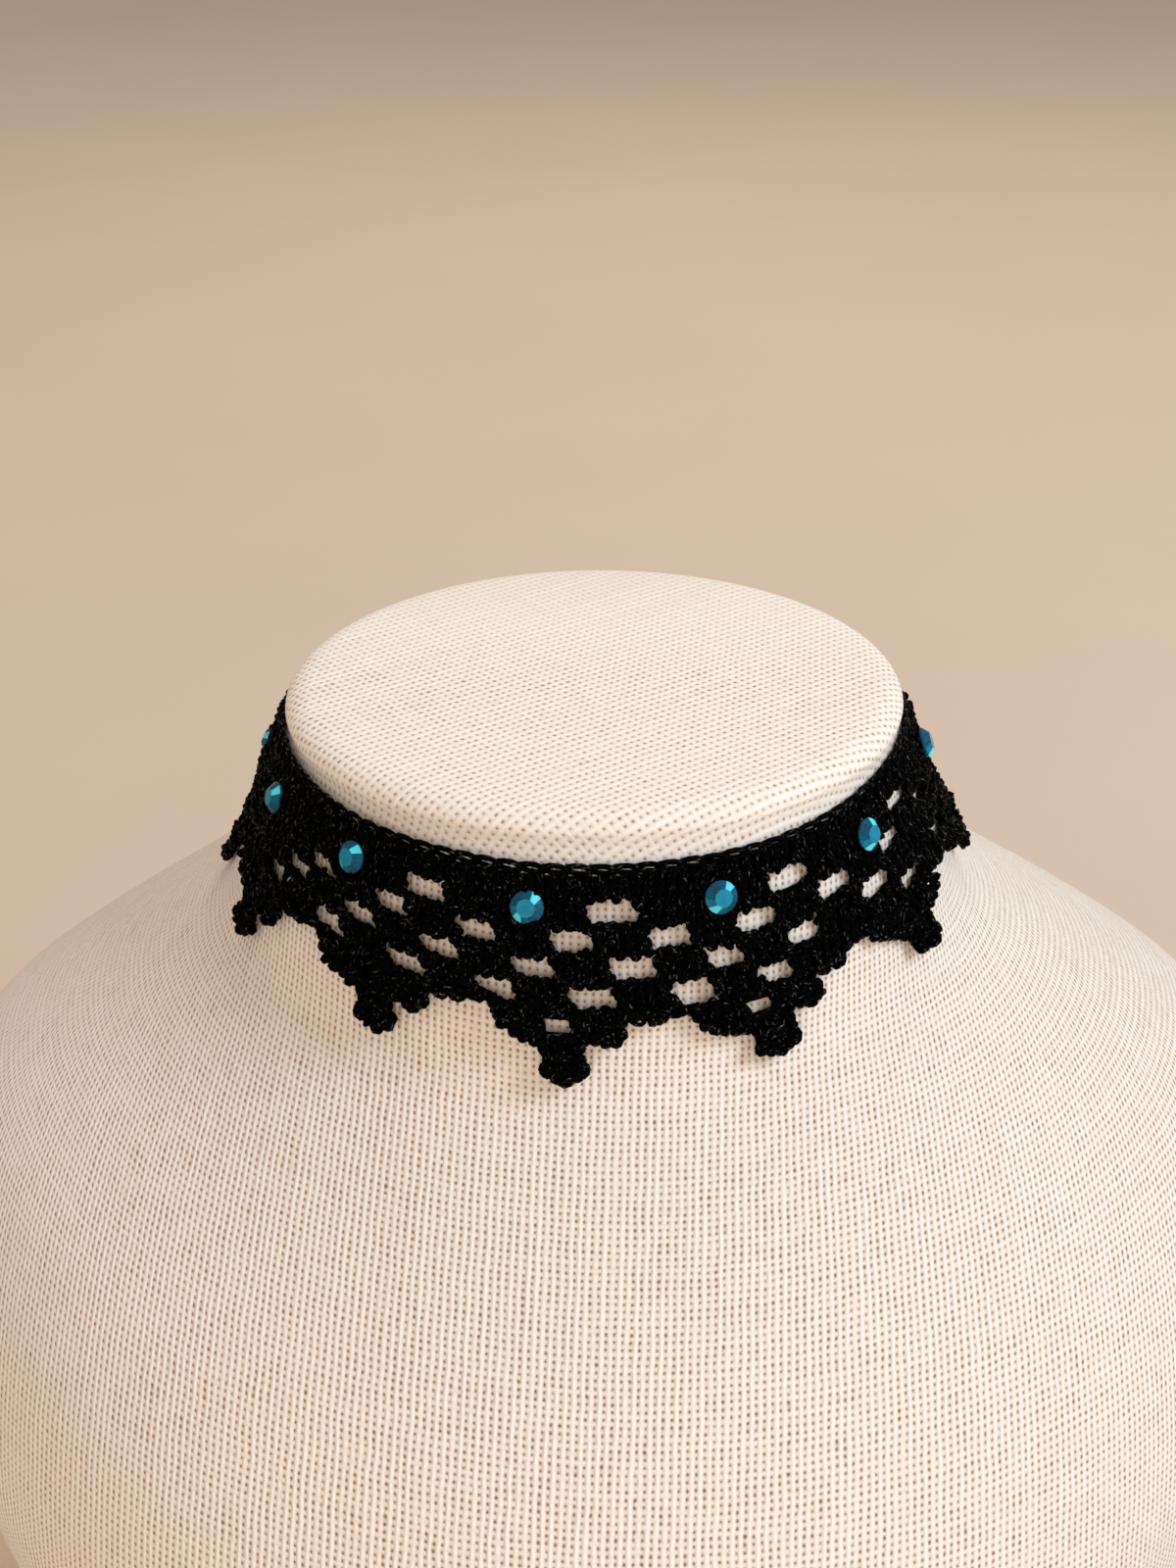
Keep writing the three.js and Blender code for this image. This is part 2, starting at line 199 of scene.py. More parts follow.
def linen_cloth():
    """Undyed linen, plain woven: thick smooth warp ropes, with the weft sunk between them, each
    thread painted lighter on its crest and darker in its valleys, and a painted brown shade in the
    gap where four threads meet, which give the eye a dotted grid on a cream cloth."""
    warp_pitch = 1.3      # mm between warp threads
    weft_pitch = 1.15     # mm between weft threads
    math_node = "ShaderNodeMath"
    material, tree = new_material("undyed_linen_plain_weave")
    place = add(tree, "ShaderNodeUVMap", uv_map="weave")
    # On the neck's top the cloth is pulled tight both ways, so weft and warp show alike there, and
    # tightest toward the back and over the front of the rim, where its gaps close.
    pulled = add(tree, "ShaderNodeAttribute", attribute_name="pulled_tight").outputs["Fac"]
    closed = add(tree, "ShaderNodeMapRange", {"Value": pulled, "From Min": 1.0, "From Max": 2.0,
                                              "To Min": 0.0, "To Max": 0.4})

    # Handspun threads wander by about a tenth of a millimetre.
    wander = add(tree, "ShaderNodeTexNoise",
                 {"Vector": place, "Scale": 0.16, "Detail": 4.0, "Roughness": 0.62})
    middle = add(tree, "ShaderNodeVectorMath", {0: wander.outputs["Color"], 1: (0.5, 0.5, 0.5)},
                 operation="SUBTRACT")
    nudge = add(tree, "ShaderNodeVectorMath", {0: middle, "Scale": 0.8}, operation="SCALE")
    moved = add(tree, "ShaderNodeVectorMath", {0: place, 1: nudge}, operation="ADD")
    split = add(tree, "ShaderNodeSeparateXYZ", {0: moved})
    warp = add(tree, math_node, {0: split.outputs[0], 1: math.pi / warp_pitch},
               operation="MULTIPLY")
    weft = add(tree, math_node, {0: split.outputs[1], 1: math.pi / weft_pitch},
               operation="MULTIPLY")
    warp_wave = add(tree, math_node, {0: warp}, operation="COSINE")
    weft_wave = add(tree, math_node, {0: weft}, operation="COSINE")
    warp_round = add(tree, math_node, {0: warp_wave}, operation="ABSOLUTE")
    weft_round = add(tree, math_node, {0: weft_wave}, operation="ABSOLUTE")
    crossing = add(tree, math_node, {0: warp_wave, 1: weft_wave}, operation="MULTIPLY")

    # Thicker and thinner threads, each long along its own run.
    warp_run = add(tree, "ShaderNodeMapping", {"Vector": moved, "Scale": (0.8, 0.02, 1)})
    warp_slub = add(tree, "ShaderNodeTexNoise", {"Vector": warp_run, "Scale": 1.0, "Detail": 2.0})
    weft_run = add(tree, "ShaderNodeMapping", {"Vector": moved, "Scale": (0.05, 0.9, 1)})
    weft_slub = add(tree, "ShaderNodeTexNoise", {"Vector": weft_run, "Scale": 1.0, "Detail": 2.0})
    warp_thick = add(tree, math_node, {0: warp_slub, 1: 0.9, 2: 0.5}, operation="MULTIPLY_ADD")
    weft_slack = add(tree, math_node, {0: weft_slub, 1: 0.6, 2: 0.34}, operation="MULTIPLY_ADD")
    weft_thick = add(tree, math_node, {0: pulled, 1: 0.12, 2: weft_slack}, operation="MULTIPLY_ADD")

    # A warp thread rides over the weft at every second crossing, and dips a little at the others.
    warp_body = add(tree, math_node, {0: warp_round, 1: warp_thick}, operation="MULTIPLY")
    weft_body = add(tree, math_node, {0: weft_round, 1: weft_thick}, operation="MULTIPLY")
    warp_high = add(tree, math_node, {0: crossing, 1: 0.12, 2: warp_body},
                    operation="MULTIPLY_ADD")
    weft_high = add(tree, math_node, {0: crossing, 1: -0.12, 2: weft_body},
                    operation="MULTIPLY_ADD")
    height = add(tree, math_node, {0: warp_high, 1: weft_high, 2: 0.3}, operation="SMOOTH_MAX")

    # The gap where four threads meet, in painted shade: a soft round brown hollow with a darker
    # middle.
    across = add(tree, "ShaderNodeCombineXYZ", {0: warp_body, 1: weft_body})
    beside = add(tree, "ShaderNodeVectorMath", {0: across}, operation="LENGTH")
    meeting = add(tree, math_node, {0: 1.0, 1: beside.outputs["Value"]}, operation="SUBTRACT")
    uneven = add(tree, "ShaderNodeTexNoise",
                 {"Vector": moved, "Scale": 0.3, "Detail": 3.0, "Roughness": 0.75})
    less = add(tree, math_node, {0: uneven, 1: -1.0, 2: 0.5}, operation="MULTIPLY_ADD")
    eased = add(tree, math_node, {0: less, 1: closed}, operation="SUBTRACT")
    open_gap = add(tree, math_node, {0: meeting, 1: eased}, operation="ADD")
    painted_hollow_shade = add(tree, "ShaderNodeMapRange", {"Value": open_gap, "From Min": 0.3, "From Max": 0.8},
                 interpolation_type="SMOOTHSTEP")
    painted_gap_shade = add(tree, "ShaderNodeMapRange", {"Value": open_gap, "From Min": 0.5, "From Max": 1.0},
              interpolation_type="SMOOTHSTEP")

    fibre_run = add(tree, "ShaderNodeMapping", {"Vector": moved, "Scale": (6.0, 1.4, 1)})
    fibre = add(tree, "ShaderNodeTexNoise", {"Vector": fibre_run, "Scale": 1.0, "Detail": 3.0})
    # Painted shade: toward the back of the neck's top, where the cloth is pulled tightest, the
    # crests are painted less light, so the threads there are darker.
    painted_dimming = add(tree, "ShaderNodeMapRange", {"Value": pulled, "From Min": 1.4, "From Max": 2.0,
                                            "To Min": 0.0, "To Max": 0.35})
    high = add(tree, math_node, {0: height, 1: painted_dimming}, operation="SUBTRACT")
    # Painted highlight and shade: each thread is painted lighter on its crest and darker in its
    # valleys.
    painted_crest_shading = add(tree, "ShaderNodeMapRange", {"Value": high, "From Min": 0.4, "From Max": 0.95})
    thread = add(tree, "ShaderNodeMix", {0: painted_crest_shading, 6: linear("#e8d7c6"), 7: linear("#faf1e8")},
                 data_type="RGBA")
    dusted = add(tree, "ShaderNodeMix", {0: 0.2, 6: thread.outputs[2], 7: fibre.outputs["Color"]},
                 data_type="RGBA", blend_type="SOFT_LIGHT")
    # Painted shade: a light brown hollow round each gap, darker brown in its middle.
    shaded = add(tree, "ShaderNodeMix", {0: painted_hollow_shade, 6: dusted.outputs[2], 7: linear("#cfb298")},
                 data_type="RGBA")
    coloured = add(tree, "ShaderNodeMix", {0: painted_gap_shade, 6: shaded.outputs[2], 7: linear("#946c4c")},
                   data_type="RGBA")
    relief = add(tree, math_node, {0: fibre, 1: 0.12, 2: height}, operation="MULTIPLY_ADD")
    pressed = add(tree, math_node, {0: pulled, 1: -0.0001, 2: 0.0003}, operation="MULTIPLY_ADD")
    bump = add(tree, "ShaderNodeBump", {"Strength": 1.0, "Distance": pressed, "Height": relief})
    shader = add(tree, "ShaderNodeBsdfPrincipled",
                 {"Base Color": coloured.outputs[2], "Roughness": 0.88, "IOR": 1.5,
                  "Sheen Weight": 0.2, "Sheen Roughness": 0.5, "Normal": bump})
    add(tree, "ShaderNodeOutputMaterial", {"Surface": shader})
    return material


def crochet_cotton():
    """Black crochet cotton, three plies twisted and then worked with a hook: matt and nearly
    black, with grey flecks painted along the ridge of a ply as highlights where a fibre would catch
    the light, and a little glossier there."""
    math_node = "ShaderNodeMath"
    material, tree = new_material("black_crochet_cotton_three_ply")
    place = add(tree, "ShaderNodeUVMap", uv_map="twist")
    split = add(tree, "ShaderNodeSeparateXYZ", {0: place})
    # The twist map holds whole turns along the thread and once round it; three plies lie there.
    run = add(tree, math_node, {0: split.outputs[1], 1: 3.0, 2: split.outputs[0]},
              operation="MULTIPLY_ADD")
    turn = add(tree, math_node, {0: run, 1: 2 * math.pi}, operation="MULTIPLY")
    ply = add(tree, math_node, {0: turn}, operation="COSINE")
    solid = add(tree, "ShaderNodeTexCoord")
    fuzz = add(tree, "ShaderNodeTexNoise",
               {"Vector": solid.outputs["Object"], "Scale": 1100.0, "Detail": 1.0})
    ridge = add(tree, math_node, {0: fuzz, 1: 3.2, 2: ply}, operation="MULTIPLY_ADD")
    # Painted highlight: grey flecks where the fuzz is high on a ply's ridge, as if a fibre caught
    # the light.
    painted_ply_highlight = add(tree, "ShaderNodeMapRange", {"Value": ridge, "From Min": 2.6, "From Max": 3.2},
                interpolation_type="SMOOTHSTEP")
    colour = add(tree, "ShaderNodeMix", {0: painted_ply_highlight, 6: linear("#040404"), 7: linear("#24231f")},
                 data_type="RGBA")
    gleam = add(tree, math_node, {0: painted_ply_highlight, 1: 0.99, 2: 0.01}, operation="MULTIPLY_ADD")
    relief = add(tree, math_node, {0: fuzz, 1: 0.5, 2: ply}, operation="MULTIPLY_ADD")
    bump = add(tree, "ShaderNodeBump", {"Strength": 0.7, "Distance": 0.00006, "Height": relief})
    shader = add(tree, "ShaderNodeBsdfPrincipled",
                 {"Base Color": colour.outputs[2], "Roughness": 0.4, "IOR": 1.5,
                  "Specular IOR Level": gleam, "Normal": bump})
    add(tree, "ShaderNodeOutputMaterial", {"Surface": shader})
    return material


def stone_glass():
    """Cut blue glass, foiled on its back, drawn opaque: each facet is painted with its own fixed
    reflection, dark, middling or bright, so they stand side by side, with brown grains laid on
    those painted darkest."""
    material, tree = new_material("cut_foiled_blue_glass")
    painted_light = add(tree, "ShaderNodeAttribute", attribute_name="painted_facet_light").outputs["Fac"]
    solid = add(tree, "ShaderNodeTexCoord")
    grain = add(tree, "ShaderNodeTexNoise",
                {"Vector": solid.outputs["Object"], "Scale": 3200.0, "Detail": 2.0})
    cloud = add(tree, "ShaderNodeTexNoise",
                {"Vector": solid.outputs["Object"], "Scale": 700.0, "Detail": 1.0})
    uneven = add(tree, "ShaderNodeMath", {0: cloud, 1: 0.3, 2: -0.15}, operation="MULTIPLY_ADD")
    painted_level = add(tree, "ShaderNodeMath", {0: painted_light, 1: uneven}, operation="ADD")
    # The painted reflection picks dark, middling or bright blue for each facet.
    low = add(tree, "ShaderNodeMapRange", {"Value": painted_level, "From Min": 0.1, "From Max": 0.5})
    high = add(tree, "ShaderNodeMapRange", {"Value": painted_level, "From Min": 0.55, "From Max": 0.95})
    deep = add(tree, "ShaderNodeMix", {0: low, 6: linear("#085773"), 7: linear("#2b8dab")},
               data_type="RGBA")
    bright = add(tree, "ShaderNodeMix", {0: high, 6: deep.outputs[2], 7: linear("#5ce8fb")},
                 data_type="RGBA")
    # Brown grains laid where the painted reflection is darkest.
    dull = add(tree, "ShaderNodeMath", {0: painted_level, 1: -0.35, 2: grain}, operation="MULTIPLY_ADD")
    painted_dimming = add(tree, "ShaderNodeMapRange", {"Value": dull, "From Min": 0.54, "From Max": 0.57})
    colour = add(tree, "ShaderNodeMix", {0: painted_dimming, 6: bright.outputs[2], 7: linear("#3a2a1e")},
                 data_type="RGBA")
    shader = add(tree, "ShaderNodeBsdfPrincipled",
                 {"Base Color": colour.outputs[2], "Roughness": 0.15, "IOR": 1.56,
                  "Specular IOR Level": 0.05})
    add(tree, "ShaderNodeOutputMaterial", {"Surface": shader})
    return material


def stone_foil():
    """Lacquered foil under the glass: bright metal stained blue, browner in scattered grains where
    it wears."""
    material, tree = new_material("blue_lacquered_foil")
    solid = add(tree, "ShaderNodeTexCoord")
    grain = add(tree, "ShaderNodeTexNoise",
                {"Vector": solid.outputs["Object"], "Scale": 3200.0, "Detail": 2.0})
    speck = add(tree, "ShaderNodeMapRange", {"Value": grain, "From Min": 0.6, "From Max": 0.72})
    colour = add(tree, "ShaderNodeMix", {0: speck, 6: linear("#2b93b4"), 7: linear("#5f4a3c")},
                 data_type="RGBA")
    shader = add(tree, "ShaderNodeBsdfPrincipled",
                 {"Base Color": colour.outputs[2], "Metallic": 1.0, "Roughness": 0.16})
    add(tree, "ShaderNodeOutputMaterial", {"Surface": shader})
    return material


def clasp_metal():
    """Black plated steel, tumbled smooth: satin, with faint rubbing marks."""
    material, tree = new_material("black_plated_steel")
    solid = add(tree, "ShaderNodeTexCoord")
    run = add(tree, "ShaderNodeMapping", {"Vector": solid.outputs["Object"], "Scale": (1, 1, 8)})
    rub = add(tree, "ShaderNodeTexNoise", {"Vector": run, "Scale": 900.0, "Detail": 4.0})
    rough = add(tree, "ShaderNodeMapRange", {"Value": rub, "To Min": 0.28, "To Max": 0.46})
    colour = add(tree, "ShaderNodeMix", {0: rub, 6: linear("#242426"), 7: linear("#38383b")},
                 data_type="RGBA")
    bump = add(tree, "ShaderNodeBump", {"Strength": 0.2, "Distance": 0.00004, "Height": rub})
    shader = add(tree, "ShaderNodeBsdfPrincipled",
                 {"Base Color": colour.outputs[2], "Metallic": 1.0, "Roughness": rough,
                  "Normal": bump})
    add(tree, "ShaderNodeOutputMaterial", {"Surface": shader})
    return material


def floor_board():
    """Matt painted board, rolled flat: pale and warm, with a faint mottle."""
    material, tree = new_material("matt_painted_board")
    solid = add(tree, "ShaderNodeTexCoord")
    mottle = add(tree, "ShaderNodeTexNoise",
                 {"Vector": solid.outputs["Object"], "Scale": 6.0, "Detail": 3.0})
    colour = add(tree, "ShaderNodeMix", {0: mottle, 6: linear("#d2bfac"), 7: linear("#d8c6b4")},
                 data_type="RGBA")
    shader = add(tree, "ShaderNodeBsdfPrincipled",
                 {"Base Color": colour.outputs[2], "Roughness": 0.9})
    add(tree, "ShaderNodeOutputMaterial", {"Surface": shader})
    return material


# ---- The bust's surface --------------------------------------------------------------------------
def smooth_between(before, start, end, after, share):
    """A smooth curve through four values, at a share of the way between the middle two."""
    rise = (end - before) / 2
    fall = (after - start) / 2
    square = share * share
    cube = square * share
    return ((2 * cube - 3 * square + 1) * start + (cube - 2 * square + share) * rise
            + (3 * square - 2 * cube) * end + (cube - square) * fall)


RIM_ROLL = 5.0                # how far in from the rim the padded cloth starts to roll over it


def bust_rings(steps=6, rim_steps=8):
    """The sections with smooth ones lofted between them, under the rounded rim."""
    rings = []
    for step in range(rim_steps):
        bend = math.radians(90 * step / rim_steps)
        radius = NECK_RIM - RIM_ROLL * (1 - math.sin(bend))
        drop = RIM_ROUND * (1 - math.cos(bend))
        rings.append((drop,) * 3 + (radius,) * 3)
    rows = np.array(BUST_SECTIONS, float)
    last = len(rows) - 1
    for row in range(last):
        around = [rows[min(max(row + step, 0), last)] for step in (-1, 0, 1, 2)]
        rings += [smooth_between(*around, step / steps) for step in range(steps)]
    rings.append(rows[last])
    return np.array(rings)


RINGS = bust_rings()


def ring_points(angles):
    """Drop, x and y of every ring at each angle, as arrays of angles by rings."""
    side, ahead = np.sin(angles)[:, None], np.cos(angles)[:, None]
    dip = np.where(ahead > 0, RINGS[:, 1], RINGS[:, 2])
    reach = np.where(ahead > 0, RINGS[:, 4], RINGS[:, 5])
    drop = RINGS[:, 0] * side ** 2 + dip * ahead ** 2
    return drop, RINGS[:, 3] * side, NECK_Y - reach * ahead


TABLE_TURN = 0.5              # degrees between the table's angles
TABLE_DROP = 0.5              # mm between its drops


def surface_table():
    """Points of the bust's side at even angles and drops."""
    angles = np.radians(np.arange(0, 360, TABLE_TURN))
    drops = np.arange(0, NECK_TOP + TABLE_DROP, TABLE_DROP)
    drop, x, y = ring_points(angles)
    rows = [np.stack([np.interp(drops, d, a), np.interp(drops, d, b), NECK_TOP - drops], -1)
            for d, a, b in zip(drop, x, y)]
    return np.array(rows)


SURFACE = surface_table()


def bust_point(angle, drop):
    turns, falls = SURFACE.shape[:2]
    u = np.degrees(angle) % 360 / TABLE_TURN
    v = np.clip(drop / TABLE_DROP, 0, falls - 1.001)
    column, row = np.floor(u).astype(int), np.floor(v).astype(int)
    a, b = (u - column)[..., None], (v - row)[..., None]
    near, far = column % turns, (column + 1) % turns
    upper = SURFACE[near, row] * (1 - a) + SURFACE[far, row] * a
    lower = SURFACE[near, row + 1] * (1 - a) + SURFACE[far, row + 1] * a
    return upper * (1 - b) + lower * b


def bust_normal(angle, drop):
    """The outward direction of the bust's surface, taken over a small patch."""
    turn = math.radians(1)
    fall = 1.5
    around = bust_point(angle + turn, drop) - bust_point(angle - turn, drop)
    up = bust_point(angle, drop - fall) - bust_point(angle, drop + fall)
    out = np.cross(around, up)
    return out / np.linalg.norm(out, axis=-1, keepdims=True)


# ---- Places on the lace --------------------------------------------------------------------------
EASE = 0.9                    # mm past the clearance that the band stands off at the front
SETTLE = 0.3                  # mm of the clearance that it sinks by at the sides and back
EASE_TURN = 0.4               # the band stands off most at this angle toward -X, in radians
CURL_LEVEL = 3.2              # under this level the points curl off the bust
CURL = 0.7                    # mm that a tip curls off at the front: twice that at +X, none at -X
# Where the lower edge is drawn up: column, and by how many levels. It hangs lower where that is
# less than nothing.
EDGE_RISE = (
    (-14, 0.1), (-13.2, -0.4), (-12, -0.4), (-11.2, 0), (-9.6, 0), (-9.2, -0.25), (-8.6, -0.25),
    (-8, 0), (-4.6, 0), (-4.0, 0.2), (-3.2, 0.2), (-2.9, 0), (0, 0), (0.7, -0.2), (1.3, -0.2),
    (1.8, 0), (2.9, 0), (3.3, 0.2), (4.0, 0.25), (4.5, 0.65), (5.2, 0.65), (5.6, 0.1), (6.4, 0.1),
    (7.0, 0.65), (8.4, 0),
)
# How far the open rows have slipped on the bust: column, columns toward +X and levels down. They
# slip the whole way between the third and fourth rows.
SLIP = (
    (-8.5, 0, -0.2), (-6, 0.12, -0.11), (-3, 0.12, -0.11), (-2, 0, -0.03), (1, -0.03, -0.02),
    (2.7, -0.27, 0.06), (3.7, -0.3, 0.1), (5, -0.14, 0.06), (7, -0.04, -0.1), (9, 0, 0),
)
SLIP_SHARE = ((1, 0.25), (3, 1), (4.2, 1), (5.5, 0))   # level, and share of the slip there


def motif_value(name, column):
    """A value of the motif table at any column, eased from one motif to the next."""
    place = (column + MOTIF_COLUMNS / 2) / MOTIF_COLUMNS + MOTIFS
    motif = np.floor(place).astype(int)
    around = [MOTIF_ROWS[(motif + step) % MOTIFS, name] for step in (-1, 0, 1, 2)]
    return smooth_between(*around, place - motif)


def lace_angle(column, level):
    lean = np.interp(level, LEAN_LEVELS, LEAN_TURNS)
    swing = np.clip((level - SWING_LEVEL) / (TIP_LEVEL - SWING_LEVEL), 0, 1)
    return np.radians(COLUMN_TURN * column + lean + swing * motif_value(TIP_TURN, column))


def lace_drop(column, level):
    top, first, fifth, tip = (motif_value(name, column) for name in (TOP, FIRST, FIFTH, TIP))
    upper = top + (first - top) * level
    middle = first + (fifth - first) * (level - 1) / 4
    lower = fifth + (tip - fifth) * (level - 5) / (TIP_LEVEL - 5)
    return np.where(level < 1, upper, np.where(level < 5, middle, lower))


def lace_point(column, level, lift):
    """Spots on the lace, lift millimetres outside the fabric's inner face."""
    column, level, lift = (np.asarray(v, float) for v in (column, level, lift))
    column, level, lift = np.broadcast_arrays(column, level, lift)
    drawn = np.interp(column, *zip(*EDGE_RISE)) * np.clip((level - 4) / 0.8, 0, 1)
    share = np.interp(level, *zip(*SLIP_SHARE))
    stops, *slipped = zip(*SLIP)
    aside, down = (np.interp(column, stops, slip) * share for slip in slipped)
    angle = lace_angle(column + aside, level)
    drop = lace_drop(column + aside, level + down - drawn)
    low = np.clip((level - CURL_LEVEL) / (TIP_LEVEL - CURL_LEVEL), 0, 1)
    curl = low ** 1.1 * (CURL + CURL * np.sin(angle))
    front = np.clip(np.cos(angle + EASE_TURN), 0, 1) ** 2
    off = CLEARANCE - SETTLE + (EASE + SETTLE) * front + lift + curl
    return bust_point(angle, drop) + bust_normal(angle, drop) * off[..., None]


# ---- Building pieces -----------------------------------------------------------------------------
def piece_from(name, mesh, material, slot, *nodes):
    """A finished piece at the origin, riding on the object's one body."""
    piece = bpy.data.objects.new(name, mesh)
    bpy.context.collection.objects.link(piece)
    mesh.materials.clear()
    mesh.materials.append(material)
    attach(piece, "root")
    if nodes:
        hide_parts(*nodes)
    return piece


def mesh_from(name, shape, smooth=True):
    mesh = bpy.data.meshes.new(name)
    shape.to_mesh(mesh)
    shape.free()
    if smooth:
        mesh.shade_smooth()
    else:
        mesh.shade_flat()
    return mesh


# ---- The bust ------------------------------------------------------------------------------------
BUST_SIDES = 192
TOP_RINGS = 8
BASE_RINGS = 5
NECK_CLOTH_DROP = 8.2         # the cover's top cloth ends here, under the choker
NECK_CLOTH_TURN = 54.0        # its threads lie turned against those of the chest, in degrees
NECK_CLOTH_EASE = 0.8         # cloth that would lie in a millimetre there, as it is pulled tight
CHEST_CLOTH_TURN = 2.8
FRONT_PULL = 0.25             # how hard it is pulled over the front of the rim, against the back


def turned(u, v, degrees):
    c, s = math.cos(math.radians(degrees)), math.sin(math.radians(degrees))
    return u * c - v * s, u * s + v * c


def make_bust(linen):
    """The bust: a grid wrapped round it, from the middle of the neck's top to that of its base,
    with the cover's threads laid in its map as cut cloth."""
    disc = np.linspace(0, NECK_RIM - RIM_ROLL, TOP_RINGS + 1)[:-1]
    base = np.linspace(1, 0, BASE_RINGS + 1)[1:]
    angles = np.linspace(-math.pi, math.pi, BUST_SIDES + 1)
    drop, x, y = ring_points(angles)
    centre = np.array((0, NECK_Y, NECK_TOP))
    rows = [centre + r * np.stack([np.sin(angles), -np.cos(angles), 0 * angles], -1) for r in disc]
    rows += list(np.stack([x, y, NECK_TOP - drop], -1).transpose(1, 0, 2))
    foot = rows[-1]
    middle = np.array((0, NECK_Y, 0))
    rows += [middle + (foot - middle) * share for share in base]
    rows = np.array(rows)

    # Lengths along the cloth, down from the middle of the neck's top and round from the front.
    down = np.vstack([np.zeros(len(angles)),
                      np.cumsum(np.linalg.norm(np.diff(rows, axis=0), axis=2), axis=0)])
    steps = np.linalg.norm(np.diff(rows, axis=1), axis=2)
    around = np.hstack([np.zeros((len(rows), 1)), np.cumsum(steps, axis=1)])
    around -= around[:, BUST_SIDES // 2][:, None]
    tight = down * NECK_CLOTH_EASE
    neck_cloth = turned(tight * np.sin(angles), -tight * np.cos(angles), NECK_CLOTH_TURN)
    chest_cloth = turned(around, -down, CHEST_CLOTH_TURN)

    shape = bmesh.new()
    weave = shape.loops.layers.uv.new("weave")
    pulled = shape.verts.layers.float.new("pulled_tight")
    bmesh.ops.create_grid(shape, x_segments=BUST_SIDES, y_segments=len(rows) - 1, size=0.5)
    shape.verts.ensure_lookup_table()
    place = {}
    for corner in shape.verts:
        side = round((corner.co.x + 0.5) * BUST_SIDES)
        row = round((0.5 - corner.co.y) * (len(rows) - 1))
        place[corner.index] = (row, side)
        corner.co = rows[row, side] * MM
        if NECK_TOP - corner.co.z / MM < NECK_CLOTH_DROP:
            back = (corner.co.y / MM - NECK_Y) / NECK_RIM
            corner[pulled] = 1 + max(back, -FRONT_PULL * back)
    for face in shape.faces:
        lowest = NECK_TOP - min(loop.vert.co.z for loop in face.loops) / MM
        cloth = neck_cloth if lowest < NECK_CLOTH_DROP else chest_cloth
        for loop in face.loops:
            spot = place[loop.vert.index]
            loop[weave].uv = (cloth[0][spot], cloth[1][spot])
    bmesh.ops.remove_doubles(shape, verts=shape.verts, dist=0.01 * MM)
    bmesh.ops.recalc_face_normals(shape, faces=shape.faces)
    return piece_from("bust", mesh_from("bust", shape), linen, "linen", "neck_bust")


# ---- The crocheted lace --------------------------------------------------------------------------
# Thickness of the cotton where it is worked: wrapped over itself in posts and picots, doubled in
# the chains, and nearly bare in the open loops.
POST_STRAND = 0.90
CHAIN_THREAD = 0.95
EDGE_THREAD = 0.92
PICOT_THREAD = 1.05
LOOP_THREAD = 0.78
POST_TWIST = 2.9              # mm that a post's twist takes for one turn
HALF = 0.5                    # columns in one stitch
UPRIGHT = 0.8                 # how far a stitch stands straight in work that leans
END_MARGIN = 0.25             # columns from the band's end to its first whole stitch
POINT_MARGIN = 0.3            # columns from its end that the trims of a point keep clear
POINT_COLUMNS = tuple(MOTIF_COLUMNS * motif - MOTIF_COLUMNS // 2
                      for motif in range(-MOTIFS // 2, MOTIFS // 2 + 1))

# The wave of a twisted strand: points in a turn, and its reach across in stitches, its reach
# outward and the height of its middle in millimetres.
TURN_POINTS = 5.5
STRAND_ACROSS = 0.12
STRAND_OUT = 0.30
STRAND_LIFT = 0.78
PAIR_ASIDE = 0.27             # stitches from a post's middle to each of its two pairs

# Rows of upright stitches from the top edge down: where a row starts and ends, and which columns
# are left open in it.
SHUT, OVER_POINTS, ODD, EVEN = range(4)
STITCH_ROWS = (
    (0.24, 0.66, SHUT),
    (0.66, 1.5, OVER_POINTS),
    (1.5, 2.5, ODD),
    (2.5, 3.5, EVEN),
    (3.5, 4.5, ODD),
)
CHAIN_LEVELS = (0.66, 1.5, 2.5, 3.5, 4.5)
TIP_ROW = 5                   # stands for the small opening over each point
# Openings that are pulled shut where the band bends hardest: column, and number of the row.
PULLED_SHUT = {(-8, 1), (-9, 2), (-10, 3), (-11, 4), (-10, TIP_ROW), (-6, TIP_ROW), (5, 4),
               (6, TIP_ROW), (8, 3)}

# The stitches that each point adds under those rows: how many columns aside of its middle, and
# the levels where the stitch starts and ends.
POINT_STITCHES = (
    (-1.06, 4.5, 5.15), (-0.6, 4.5, 5.45), (0.48, 4.5, 5.4), (0.92, 4.5, 5.3),
    (-0.16, 5.4, 6.35), (0.1, 5.35, 6.35), (-0.17, 6.2, 6.95), (0.12, 6.2, 6.95),
)
# The short chain under a point's small opening, and that across its neck.
POINT_CHAINS = ((-0.25, 5.42), (0.2, 5.4), (-0.6, 5.42), (0.6, 5.35), (0, 6.25))

# The lines that the small round picots follow along a point's left side and round its tip and
# right side, in columns aside of the point's middle and in levels, and the knots inside them.
PICOT_LINES = (
    ((-1.26, 4.75), (-1.22, 5.12), (-1.0, 5.4), (-0.75, 5.56), (-0.50, 5.70)),
    ((-0.12, 6.28), (-0.28, 6.52), (-0.40, 6.76), (-0.30, 7.02), (0.00, 7.22), (0.20, 7.06),
     (0.37, 6.72), (0.30, 6.20), (0.36, 5.76), (0.46, 5.48), (0.66, 5.48), (0.90, 5.66),
     (1.12, 5.50), (1.20, 5.17), (1.26, 4.82)),
)
